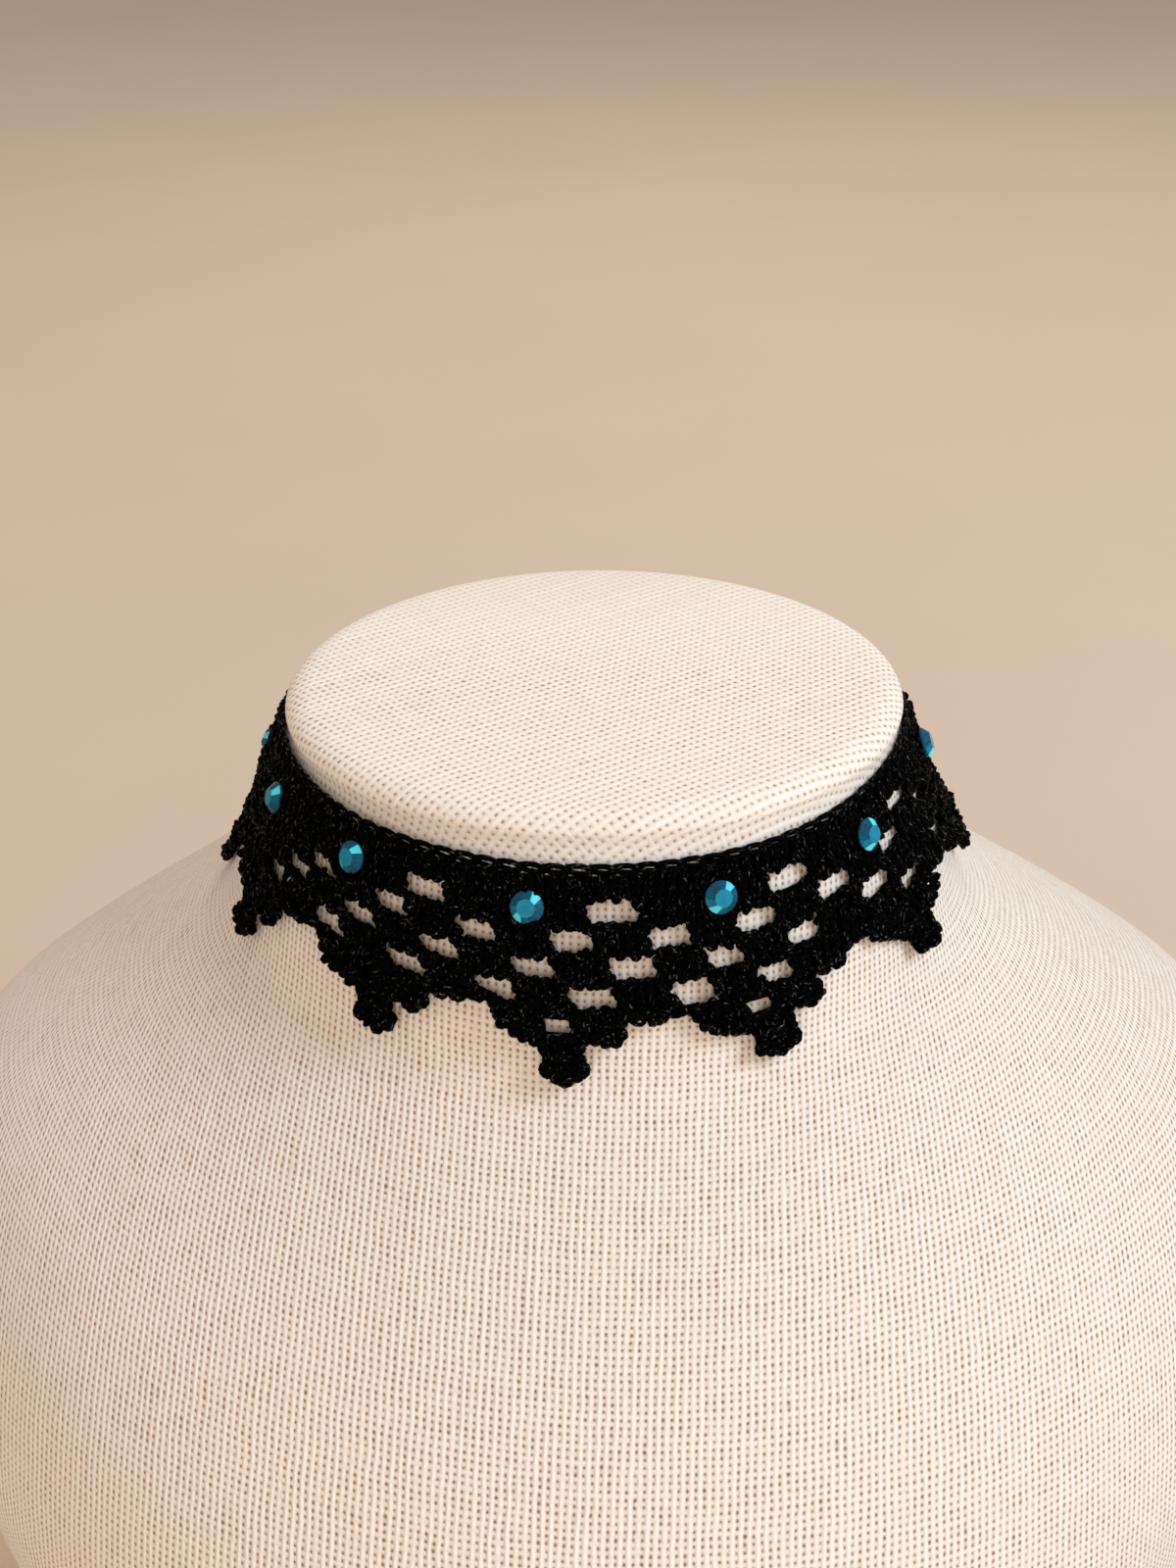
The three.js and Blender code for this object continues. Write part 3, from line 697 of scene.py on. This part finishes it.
# The three larger picots at a point's tip: columns aside, level.
TIP_PICOTS = ((-0.34, 6.80), (-0.02, 7.16), (0.31, 6.80))
PICOT_STEP = 1.75             # mm between picots
POINT_KNOTS = (
    (-1.0, 4.85), (-0.8, 5.1), (-0.95, 5.15), (-0.6, 5.4), (-0.4, 5.2), (-0.1, 6.62), (0.1, 6.85),
    (-0.12, 6.95), (0.12, 6.5), (0.02, 6.2), (-0.05, 5.75), (0.14, 5.6), (0.55, 5.0), (0.8, 5.2),
    (1.0, 4.85), (0.75, 4.8), (1.38, 4.54), (1.58, 4.66), (1.76, 4.64), (1.88, 4.80), (2.06, 4.64),
    (2.3, 4.56), (2.52, 4.52), (2.74, 4.54),
)
# Where the pressed ground ends: columns aside of the point, and its lowest level there.
GROUND_EDGE = (
    (-2.0, 4.75), (-1.8, 4.6), (-1.5, 4.45), (-1.2, 4.7), (-1.1, 5.2), (-0.4, 5.5), (-0.3, 6.6),
    (0, 6.9), (0.25, 6.6), (0.35, 5.5), (1.0, 5.3), (1.2, 4.9), (1.5, 4.7), (2.0, 4.75),
)
# Open chain loops along the edge: columns aside of the point, level, length and width in mm, and
# how far the loop slants, in degrees.
EDGE_LOOPS = (
    (-0.34, 5.98, 3.6, 2.1, 62), (1.56, 4.80, 3.4, 2.1, 24), (2.06, 4.76, 3.6, 2.2, -40),
    (2.40, 4.60, 3.3, 2.0, -14),
)
# Knots that have slipped into the openings where the band bends hardest: column and level.
STRAY_KNOTS = ((3.34, 3.86), (3.36, 4.14), (4.33, 2.86), (4.35, 3.14), (-2.3, 3.9), (-6.3, 4.9))
# The knots round each opening: columns aside of its middle, share of its height, width and lift.
HOLE_KNOTS = (
    (-0.57, 0.36, 1.9, 0.95), (-0.55, 0.66, 1.9, 0.95),
    (0.50, 0.36, 1.9, 1.4), (0.51, 0.66, 1.9, 1.4),
    (-0.50, 0.20, 1.6, 0.9), (-0.50, 0.80, 1.6, 0.9),
    (0.46, 0.20, 1.6, 1.1), (0.46, 0.80, 1.6, 1.1),
    (-0.18, 0.06, 1.6, 0.9), (0.16, 0.05, 1.6, 0.9),
    (-0.16, 0.95, 1.5, 0.9), (0.18, 0.94, 1.5, 0.9),
)
POINT_WIDER = 1.1             # how much wider those over the points are

KNOT_STEP = 0.27              # columns between the knots of a chained row
KNOT_STRAY = 0.03             # columns or levels that a knot strays by
BAR_INSET = 0.13              # columns from the band's end to the bar of stitches along it
KNOT_INSETS = (0.12, 0.08)    # and to the first and last knot of a chained row
LINK_INSETS = (0.2, 0.1)      # and to the first and last link of the top edge chain
STRAND_TWISTS = 4             # turns of twist along a strand of a post or a ring
LINK_TWISTS = 6               # and along one of the longer links and loops
EDGE_LEVEL = 0.12             # the level of the top edge chain
EDGE_KNOT_LEVEL = 0.16
CHAINED_ASIDE = 1.4           # the lowest chained row ends this many columns from a point

# The pressed inner face: columns to one of its faces, its first and last level and how many rows
# of corners lie between, then its height and thickness in millimetres.
GROUND_COLUMN = 0.125
GROUND_LEVELS = (0.26, 6.9, 84)
GROUND_LIFT = 0.55
GROUND_WALL = 0.4
GROUND_ASIDE = 0.12           # columns that it keeps clear of an opening
GROUND_DOWN = 0.1             # levels that it reaches into one
TIP_HOLE = (0.2, 4.8, 5.3)    # the small opening: columns aside, and its upper and lower levels
GROUND_TURNS = (6, 2)         # turns of twist to a column and to a level


def places():
    """The middles of the stitches round the band, in columns."""
    return np.arange(HALF / 2 - END_COLUMN + END_MARGIN, END_COLUMN - END_MARGIN, HALF)


def is_open(row, column):
    """Whether the work is open at a column of a stitch row."""
    near = np.round(column)
    aside = np.mod(near + MOTIF_COLUMNS / 2, MOTIF_COLUMNS)
    left_open = {SHUT: np.zeros(near.shape, bool), OVER_POINTS: aside == MOTIF_COLUMNS / 2,
                 ODD: np.mod(near, 2) == 1, EVEN: np.mod(near, 2) == 0}[STITCH_ROWS[row][2]]
    pulled = [shut for shut, shut_row in PULLED_SHUT if shut_row == row]
    return left_open & ~np.isin(near, pulled)


def stitch_frames(column, top, bottom, wide=HALF):
    """For stitches between two levels: their middles, the step of one stitch round the band, the
    step from the top to the bottom, and the outward direction."""
    column = np.asarray(column, float)
    level = (np.asarray(top) + np.asarray(bottom)) / 2
    spot = lace_point(column, level, 0)
    across = lace_point(column + wide / 2, level, 0) - lace_point(column - wide / 2, level, 0)
    down = lace_point(column, bottom, 0) - lace_point(column, top, 0)
    out = np.cross(across, -down)
    out /= np.linalg.norm(out, axis=-1, keepdims=True)
    along = across / np.linalg.norm(across, axis=-1, keepdims=True)
    down = down - UPRIGHT * along * np.sum(down * along, axis=-1, keepdims=True)
    return spot, across, down, out


def square_frames(column, level, turn=0.0):
    """The same for loose loops, in millimetres and turned in the fabric's own plane."""
    spot, across, down, out = stitch_frames(column, level - 0.25, level + 0.25)
    across /= np.linalg.norm(across, axis=-1, keepdims=True)
    down = np.cross(across, out)
    c, s = np.cos(np.radians(turn))[..., None], np.sin(np.radians(turn))[..., None]
    return spot, across * c + down * s, down * c - across * s, out


def worked(strands, frames, drawn, closed):
    """Adds one drawn strand at every place: across, down and out, in the frames' own units."""
    spot, across, down, out = frames
    x, y, z = (np.broadcast_to(d, (len(spot), drawn[0].shape[-1])) for d in drawn)
    lines = (spot[:, None] + across[:, None] * x[..., None] + down[:, None] * y[..., None]
             + out[:, None] * z[..., None])
    strands.extend((line, closed) for line in lines)


def thread_piece(name, strands, thickness, twists, cotton, *nodes):
    """One piece of many strands of thread: each is a curve with a round section, made a mesh.
    Its map holds the turns of the thread's twist along it, and once round it."""
    curve = bpy.data.curves.new(name, "CURVE")
    curve.dimensions = "3D"
    curve.bevel_depth = thickness / 2 * MM
    curve.bevel_resolution = 1
    curve.use_fill_caps = True
    for line, closed in strands:
        spline = curve.splines.new("POLY")
        spline.points.add(len(line) - 1)
        spline.points.foreach_set("co", np.hstack([line * MM, np.ones((len(line), 1))]).ravel())
        spline.use_cyclic_u = closed
    holder = bpy.data.objects.new(name, curve)
    bpy.context.collection.objects.link(holder)
    shaped = holder.evaluated_get(bpy.context.evaluated_depsgraph_get())
    mesh = bpy.data.meshes.new_from_object(shaped)
    bpy.data.objects.remove(holder)
    bpy.data.curves.remove(curve)
    mesh.name = name
    mesh.shade_smooth()
    twist = mesh.uv_layers[0]
    twist.name = "twist"
    turns = np.zeros(2 * len(twist.data))
    twist.data.foreach_get("uv", turns)
    turns[0::2] *= twists
    twist.data.foreach_set("uv", turns)
    return piece_from(name, mesh, cotton, "lace", *nodes)


def upright(strands, rng, column, top, bottom, wide=HALF, pairs=(-PAIR_ASIDE, PAIR_ASIDE)):
    """Upright stitches: each is two pairs of strands twisted round each other, side by side."""
    column = np.asarray(column, float)
    if not len(column):
        return
    frames = stitch_frames(column, top, bottom, wide)
    tall = np.linalg.norm(frames[2], axis=-1).mean()
    turns = max(tall / POST_TWIST, 0.5)
    share = np.linspace(0, 1, max(int(round(turns * TURN_POINTS)), 3) + 1)
    for pair in pairs:
        phase, lean, shift, spread = (rng.normal(0, amount, (len(column), 1))
                                      for amount in (9, 0.05, 0.03, 0.018))
        pace = turns * rng.uniform(0.75, 1.3, (len(column), 1))
        for strand in (0, math.pi):
            angle = phase + strand + share * pace * 2 * math.pi
            x = pair + shift + lean * (share - 0.5) + (STRAND_ACROSS + spread) * np.cos(angle)
            z = STRAND_LIFT + STRAND_OUT * np.sin(angle)
            worked(strands, frames, (x, share - 0.5, z), False)


def ring_angles(points):
    return np.arange(points) * 2 * math.pi / points


def chain_links(strands, rng, column, level, length=1.2, half_width=0.27, lift=0.95, rise=0.28,
                slope=0.0):
    """Chain stitches along a level: flat rings, each coming out over the end of the next."""
    column = np.asarray(column, float)
    level = np.broadcast_to(np.asarray(level, float), column.shape)
    spot, across, down, out = stitch_frames(column, level - 0.25, level + 0.25)
    down /= np.linalg.norm(down, axis=-1, keepdims=True)
    angle = ring_angles(10)
    wide = half_width * (1 + rng.normal(0, 0.07, (len(column), 1)))
    x = length / 2 * np.cos(angle)
    y = wide * np.sin(angle) * (1 + 0.25 * np.cos(angle)) + slope * np.cos(angle)
    z = lift + rise * np.cos(angle) + rng.normal(0, 0.05, (len(column), 1))
    worked(strands, (spot, across, down, out), (x, y, z), True)


def ring_loops(strands, rng, column, level, width, length=None, turn=0.0, lift=0.85,
               thickness=1.0, tilt=0.3):
    """Loose loops of thread: picots, and the open loops along the edge."""
    column, level, width = (np.asarray(v, float) for v in (column, level, width))
    length = width if length is None else np.asarray(length, float)
    turn = np.broadcast_to(np.asarray(turn, float), column.shape)
    angle = ring_angles(8)
    x = (length[:, None] - thickness) / 2 * np.cos(angle)
    y = (width[:, None] - thickness) / 2 * np.sin(angle)
    tip = rng.uniform(-tilt, tilt, (len(column), 2))
    z = (lift + rng.normal(0, 0.1, (len(column), 1))
         + tip[:, :1] * np.cos(angle) + tip[:, 1:] * np.sin(angle))
    worked(strands, square_frames(column, level, turn), (x, y, z), True)


def knots(strands, rng, column, level, width, lift, thickness, tilt=0.45):
    """Small uneven rings that stand for the knots of the work: near round, tilted all ways."""
    column = np.asarray(column, float)
    wide = width * rng.uniform(0.88, 1.12, len(column))
    ring_loops(strands, rng, column, level, wide, wide * rng.uniform(0.9, 1.25, len(column)),
               rng.uniform(0, 180, len(column)), lift=lift, thickness=thickness, tilt=tilt)


def picot_places(rng):
    """Columns and levels of the picots: even steps along every point's picot lines."""
    found = []
    for point in POINT_COLUMNS:
        for line in PICOT_LINES:
            column, level = np.array(line).T
            column = column + point
            spots = lace_point(column, level, 0)
            run = np.append(0, np.cumsum(np.linalg.norm(np.diff(spots, axis=0), axis=1)))
            steps = np.linspace(0, run[-1], int(run[-1] / PICOT_STEP) + 1)
            steps[1:-1] += rng.normal(0, 0.12, len(steps) - 2)
            found.append((np.interp(steps, run, column), np.interp(steps, run, level)))
    column, level = np.hstack(found)
    inside = np.abs(column) < END_COLUMN - POINT_MARGIN
    return column[inside], level[inside]


def round_points(table):
    """A table's rows once for every point: its columns as arrays, the first made lace columns."""
    rows = np.array(table, float)
    rows = np.vstack([rows + np.eye(1, rows.shape[1])[0] * point for point in POINT_COLUMNS])
    return rows[np.abs(rows[:, 0]) < END_COLUMN - POINT_MARGIN].T


def make_ground(cotton):
    """The fabric's inner face, where the backs of the stitches lie pressed flat together."""
    columns = int(2 * END_COLUMN / GROUND_COLUMN)
    levels = np.linspace(*GROUND_LEVELS)
    shape = bmesh.new()
    twist = shape.loops.layers.uv.new("twist")
    bmesh.ops.create_grid(shape, x_segments=columns, y_segments=len(levels) - 1, size=0.5)
    place = {}
    for corner in shape.verts:
        column = corner.co.x * 2 * END_COLUMN
        level = np.interp(0.5 - corner.co.y, np.linspace(0, 1, len(levels)), levels)
        place[corner] = (column, level)
    wide, upper, lower = TIP_HOLE
    cut = []
    for face in shape.faces:
        column, level = (sum(place[c][k] for c in face.verts) / 4 for k in (0, 1))
        aside = column % MOTIF_COLUMNS - MOTIF_COLUMNS / 2
        point = round(column - aside)
        tip_hole = abs(aside) < wide and upper < level < lower
        hole = ((tip_hole and (point, TIP_ROW) not in PULLED_SHUT)
                or level > np.interp(aside, *zip(*GROUND_EDGE)))
        beside = np.array([column - GROUND_ASIDE, column, column + GROUND_ASIDE])
        for row, (top, bottom, _) in enumerate(STITCH_ROWS):
            if top + GROUND_DOWN < level < bottom - GROUND_DOWN and is_open(row, beside).any():
                hole = True
        if hole:
            cut.append(face)
        for loop in face.loops:
            loop[twist].uv = [at * turns for at, turns in zip(place[loop.vert], GROUND_TURNS)]
    bmesh.ops.delete(shape, geom=cut, context="FACES")
    spots = lace_point(*np.array([place[c] for c in shape.verts]).T, GROUND_LIFT)
    for corner, spot in zip(shape.verts, spots):
        corner.co = spot * MM
    bmesh.ops.recalc_face_normals(shape, faces=shape.faces)
    bmesh.ops.solidify(shape, geom=shape.faces, thickness=GROUND_WALL * MM)
    bmesh.ops.recalc_face_normals(shape, faces=shape.faces)
    return piece_from("lace_ground", mesh_from("lace_ground", shape), cotton, "lace", "lace_band")


def make_stitches(cotton, rng):
    middles = places()
    posts = []
    for row, (top, bottom, _) in enumerate(STITCH_ROWS):
        upright(posts, rng, middles[~is_open(row, middles)], top, bottom)
    for end in (-1, 1):
        for top, bottom, _ in STITCH_ROWS:
            upright(posts, rng, [end * (END_COLUMN - BAR_INSET)], top, bottom, HALF / 2, (0.0,))
    column, top, bottom = round_points(POINT_STITCHES)
    for kind in sorted(set(zip(top, bottom))):
        chosen = (top == kind[0]) & (bottom == kind[1])
        upright(posts, rng, column[chosen], *kind)
    return thread_piece("lace_stitches", posts, POST_STRAND, STRAND_TWISTS, cotton,
                        "lace_band")


def make_row_chains(cotton, rng):
    """The chained rows between the stitches, and the knots round every opening."""
    rows = []
    for level in CHAIN_LEVELS:
        steps = np.arange(-END_COLUMN + KNOT_INSETS[0], END_COLUMN - KNOT_INSETS[1], KNOT_STEP)
        if level == CHAIN_LEVELS[-1]:
            aside = np.abs(np.mod(steps, MOTIF_COLUMNS) - MOTIF_COLUMNS / 2)
            steps = steps[aside < CHAINED_ASIDE]
        knots(rows, rng, steps + rng.normal(0, KNOT_STRAY, len(steps)),
              level + rng.normal(0, KNOT_STRAY, len(steps)), width=2.0, lift=1.0,
              thickness=CHAIN_THREAD)
    whole = np.arange(-COLUMNS // 2 + 1, COLUMNS // 2)
    for row, (top, bottom, kind) in enumerate(STITCH_ROWS):
        holes = whole[is_open(row, whole)]
        wider = POINT_WIDER if kind == OVER_POINTS else 1
        for aside, share, width, lift in HOLE_KNOTS:
            level = top + (bottom - top) * share + rng.normal(0, KNOT_STRAY, len(holes))
            knots(rows, rng, holes + aside * wider + rng.normal(0, 0.02, len(holes)), level, width,
                  lift, CHAIN_THREAD)
    column, level = np.array(STRAY_KNOTS).T
    knots(rows, rng, column, level, width=2.0, lift=1.0, thickness=CHAIN_THREAD)
    column, level = round_points(POINT_CHAINS)
    chain_links(rows, rng, column, level, length=1.0)
    return thread_piece("lace_row_chains", rows, CHAIN_THREAD, STRAND_TWISTS, cotton,
                        "lace_band")


def make_top_chain(cotton, rng):
    edge = []
    links = np.arange(-END_COLUMN + LINK_INSETS[0], END_COLUMN - LINK_INSETS[1], HALF)
    chain_links(edge, rng, links, EDGE_LEVEL, length=1.14, half_width=0.56, lift=0.8, rise=0.25,
                slope=0.12)
    knots(edge, rng, links + HALF / 2, np.full(len(links), EDGE_KNOT_LEVEL), width=1.5, lift=0.7,
          thickness=CHAIN_THREAD)
    return thread_piece("lace_top_chain", edge, EDGE_THREAD, LINK_TWISTS, cotton,
                        "lace_band")


def make_picots(cotton, rng):
    """The picots along every point, with the knots inside the points and over the stitches."""
    loops = []
    column, level = picot_places(rng)
    width = rng.uniform(2.1, 2.6, len(column))
    ring_loops(loops, rng, column, level, width, thickness=PICOT_THREAD)
    knots(loops, rng, column, level, width=2.0, lift=1.25, thickness=PICOT_THREAD, tilt=0.75)
    column, level = round_points(TIP_PICOTS)
    knots(loops, rng, column, level, width=2.9, lift=1.0, thickness=PICOT_THREAD)
    knots(loops, rng, column, level, width=2.6, lift=1.35, thickness=PICOT_THREAD, tilt=0.85)
    column, level = round_points(POINT_KNOTS)
    knots(loops, rng, column, level, width=2.2, lift=1.1, thickness=PICOT_THREAD)
    middles = places()
    for row, (top, bottom, _) in enumerate(STITCH_ROWS):
        column = middles[~is_open(row, middles)]
        column = column + rng.uniform(-0.2, 0.2, len(column))
        level = top + (bottom - top) * rng.uniform(0.2, 0.8, len(column))
        knots(loops, rng, column, level, width=1.9, lift=1.2, thickness=PICOT_THREAD)
    return thread_piece("lace_picots", loops, PICOT_THREAD, STRAND_TWISTS, cotton,
                        "lace_band")


def make_edge_loops(cotton, rng):
    loops = []
    column, level, length, width, slant = round_points(EDGE_LOOPS)
    ring_loops(loops, rng, column, level, width, length, slant, thickness=LOOP_THREAD)
    return thread_piece("lace_edge_loops", loops, LOOP_THREAD, LINK_TWISTS, cotton,
                        "lace_band")


def make_lace(cotton):
    rng = np.random.default_rng(11)
    ground = make_ground(cotton)
    stitches = make_stitches(cotton, rng)
    chains = make_row_chains(cotton, rng)
    top_edge = make_top_chain(cotton, rng)
    picots = make_picots(cotton, rng)
    edge_loops = make_edge_loops(cotton, rng)


# ---- The stones and the clasp --------------------------------------------------------------------
def trim_frame(angle, drop):
    """Where a trim is fixed: the matrix that sets its back on the lace with its y up the neck."""
    angle, drop = np.array([angle]), np.array([drop])
    outward = Vector(bust_normal(angle, drop)[0])
    around = Vector((math.cos(angle[0]), math.sin(angle[0]), 0))
    up = outward.cross(around).normalized()
    right = up.cross(outward)
    spot = Vector(bust_point(angle, drop)[0]) + outward * (CLEARANCE + LACE_WALL + TRIM_GAP)
    return Matrix.Translation(spot * MM) @ Matrix((right, up, outward)).transposed().to_4x4()


def ring_of(shape, radius, height, sides=GEM_SIDES):
    """A ring of corners; one with more sides than the stone is turned by half a side."""
    turn = Matrix.Rotation(math.pi / sides if sides > GEM_SIDES else 0, 4, "Z")
    spot = Matrix.Translation((0, 0, height * MM)) @ turn
    bmesh.ops.create_circle(shape, cap_ends=False, segments=sides, radius=radius * MM, matrix=spot)


# The painted reflection of each crown facet, by where it faces once the stone is set, from the
# side toward +X round over the top, so every stone is painted bright on the same sides; and
# that painted on the flat table and the girdle.
CROWN_PAINTED_LIGHT = (0.15, 0.9, 0.1, 0.0, 0.1, 0.3, 1.0, 0.2, 0.0, 0.1)
TABLE_PAINTED_LIGHT = 0.42
GIRDLE_PAINTED_LIGHT = 0.0
GEM_BACK = 0.97               # the flat back's share of the stone's radius
GEM_EDGE = 0.12               # mm that the back's edge is eased
FIRST_SPIN = 9                # degrees that the first stone is turned, and each one after it
NEXT_SPIN = 47

# The foil cup from its rim down: share of the stone's radius, and height in millimetres.
CUP_RINGS = ((0.955, 0.5), (0.955, 0.4), (0.40, 0.26), (0.07, 0.16))
FOIL_WALL = 0.05


def stone_crown(spin):
    """The glass: a thin girdle, one round of crown facets and a flat table."""
    shape = bmesh.new()
    ring_of(shape, GEM_RADIUS * GEM_BACK, 0, 2 * GEM_SIDES)
    ring_of(shape, GEM_RADIUS, GEM_EDGE, 2 * GEM_SIDES)
    ring_of(shape, GEM_RADIUS, GEM_GIRDLE, 2 * GEM_SIDES)
    ring_of(shape, GEM_RADIUS * GEM_TABLE, GEM_HEIGHT)
    bmesh.ops.convex_hull(shape, input=shape.verts)
    bmesh.ops.dissolve_limit(shape, angle_limit=math.radians(0.5), verts=shape.verts,
                             edges=shape.edges)
    # Each face keeps its painted reflection, which the glass's colour follows.
    painted_light = shape.faces.layers.float.new("painted_facet_light")
    for face in shape.faces:
        centre = face.calc_center_median()
        side = (math.atan2(centre.y, centre.x) + spin) / (2 * math.pi) * len(CROWN_PAINTED_LIGHT)
        face[painted_light] = CROWN_PAINTED_LIGHT[math.floor(side) % len(CROWN_PAINTED_LIGHT)]
        if face.normal.z > 0.99:
            face[painted_light] = TABLE_PAINTED_LIGHT
        elif abs(face.normal.z) < 0.5:
            face[painted_light] = GIRDLE_PAINTED_LIGHT
    return shape


def stone_cup():
    """The foiled back under the glass: a shallow cup of facets that meet in the middle."""
    shape = bmesh.new()
    for share, height in CUP_RINGS:
        ring_of(shape, GEM_RADIUS * share, height)
    bmesh.ops.convex_hull(shape, input=shape.verts)
    near_rim = CUP_RINGS[0][1] - 0.02
    lid = [f for f in shape.faces if min(v.co.z for v in f.verts) > near_rim * MM]
    bmesh.ops.delete(shape, geom=lid, context="FACES_ONLY")
    bmesh.ops.solidify(shape, geom=shape.faces, thickness=FOIL_WALL * MM)
    bmesh.ops.recalc_face_normals(shape, faces=shape.faces)
    return shape


def make_stones(glass, foil):
    for motif in range(MOTIFS):
        row = MOTIF_ROWS[motif]
        column = MOTIF_COLUMNS * (motif - 0.5)
        angle = lace_angle(np.array(column), np.array(1.0)) + math.radians(row[GEM_TURN])
        frame = trim_frame(float(angle), row[FIRST] + row[GEM_DROP])
        spin = math.radians(FIRST_SPIN + NEXT_SPIN * motif)
        spun = frame @ Matrix.Rotation(spin, 4, "Z")
        number = f"{motif + 1:02d}"
        crown = stone_crown(spin)
        bmesh.ops.transform(crown, matrix=spun, verts=crown.verts)
        name = f"stone_{number}"
        piece_from(name, mesh_from(name, crown, smooth=False), glass, "gem", f"gem_{number}")
        cup = stone_cup()
        bmesh.ops.transform(cup, matrix=spun, verts=cup.verts)
        name = f"stone_foil_{number}"
        piece_from(name, mesh_from(name, cup, smooth=False), foil, "gem")


def make_clasp(metal):
    """The clasp: a plain plate with round corners, an eased rim and a shallow sunk face."""
    shape = bmesh.new()
    bmesh.ops.create_cube(shape, size=1.0)
    sized = Matrix.Diagonal((CLASP_WIDTH * MM, CLASP_HEIGHT * MM, CLASP_THICKNESS * MM, 1))
    raised = Matrix.Translation((0, 0, CLASP_THICKNESS / 2 * MM))
    bmesh.ops.transform(shape, verts=shape.verts, matrix=raised @ sized)
    corners = [e for e in shape.edges if abs(e.verts[0].co.z - e.verts[1].co.z) > 0.5 * MM]
    bmesh.ops.bevel(shape, geom=corners, offset=CLASP_CORNER * MM, segments=6, profile=0.5,
                    affect="EDGES", material=-1)
    front = [f for f in shape.faces if min(v.co.z for v in f.verts) > (CLASP_THICKNESS - 0.1) * MM]
    bmesh.ops.bevel(shape, geom=list(front[0].edges), offset=CLASP_EASE * MM, segments=3,
                    profile=0.5, affect="EDGES", material=-1)
    front = max(shape.faces, key=lambda f: f.calc_center_median().z * 1e3 + f.calc_area())
    bmesh.ops.inset_individual(shape, faces=[front], thickness=CLASP_BORDER * MM,
                               depth=-CLASP_SUNK * MM)
    column = COLUMNS / 2
    angle = lace_angle(np.array(column), np.array(CLASP_LEVEL))
    drop = lace_drop(np.array(column), np.array(CLASP_LEVEL))
    bmesh.ops.transform(shape, matrix=trim_frame(float(angle), float(drop)), verts=shape.verts)
    bmesh.ops.recalc_face_normals(shape, faces=shape.faces)
    mesh = mesh_from("clasp_plate", shape, smooth=False)
    piece_from("clasp_plate", mesh, metal, "clasp", "clasp")


# ---- Floor and light -----------------------------------------------------------------------------
FLOOR_REACH = 8.0             # metres from the middle to its edge
LIGHTS_AIM = Vector((0, 0, 0.17))


def make_floor():
    shape = bmesh.new()
    bmesh.ops.create_grid(shape, x_segments=1, y_segments=1, size=FLOOR_REACH)
    floor = bpy.data.objects.new("floor", mesh_from("floor", shape))
    bpy.context.collection.objects.link(floor)
    floor.data.materials.append(floor_board())


def make_light(name, place, size, power, colour, shines=True):
    """A round soft light aimed at the choker. One that doesn't shine gives no highlights."""
    data = bpy.data.lights.new(name, "AREA")
    data.shape = "DISK"
    data.size = size
    data.energy = power
    data.color = linear(colour)[:3]
    light = bpy.data.objects.new(name, data)
    light.location = place
    toward = LIGHTS_AIM - Vector(place)
    light.rotation_euler = toward.to_track_quat("-Z", "Y").to_euler()
    light.visible_glossy = shines
    bpy.context.collection.objects.link(light)


def make_lights():
    world = bpy.data.worlds.new("studio")
    world.use_nodes = True
    sky = world.node_tree.nodes["Background"]
    sky.inputs["Color"].default_value = linear("#fff3e8")
    sky.inputs["Strength"].default_value = 0.5
    bpy.context.scene.world = world
    make_light("key", (0.95, -0.45, 1.0), 0.7, 11.4, "#d3eaff")
    make_light("front", (-0.1, -1.4, 0.5), 1.0, 6.3, "#fff0d9", shines=False)
    make_light("back", (0.2, 1.2, 1.3), 1.0, 8.6, "#fff4e2")


# ---- The whole object ----------------------------------------------------------------------------
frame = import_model()
make_camera()
make_bust(linen_cloth())
make_lace(crochet_cotton())
make_stones(stone_glass(), stone_foil())
make_clasp(clasp_metal())
make_floor()
make_lights()
bpy.context.scene.view_settings.view_transform = "Standard"
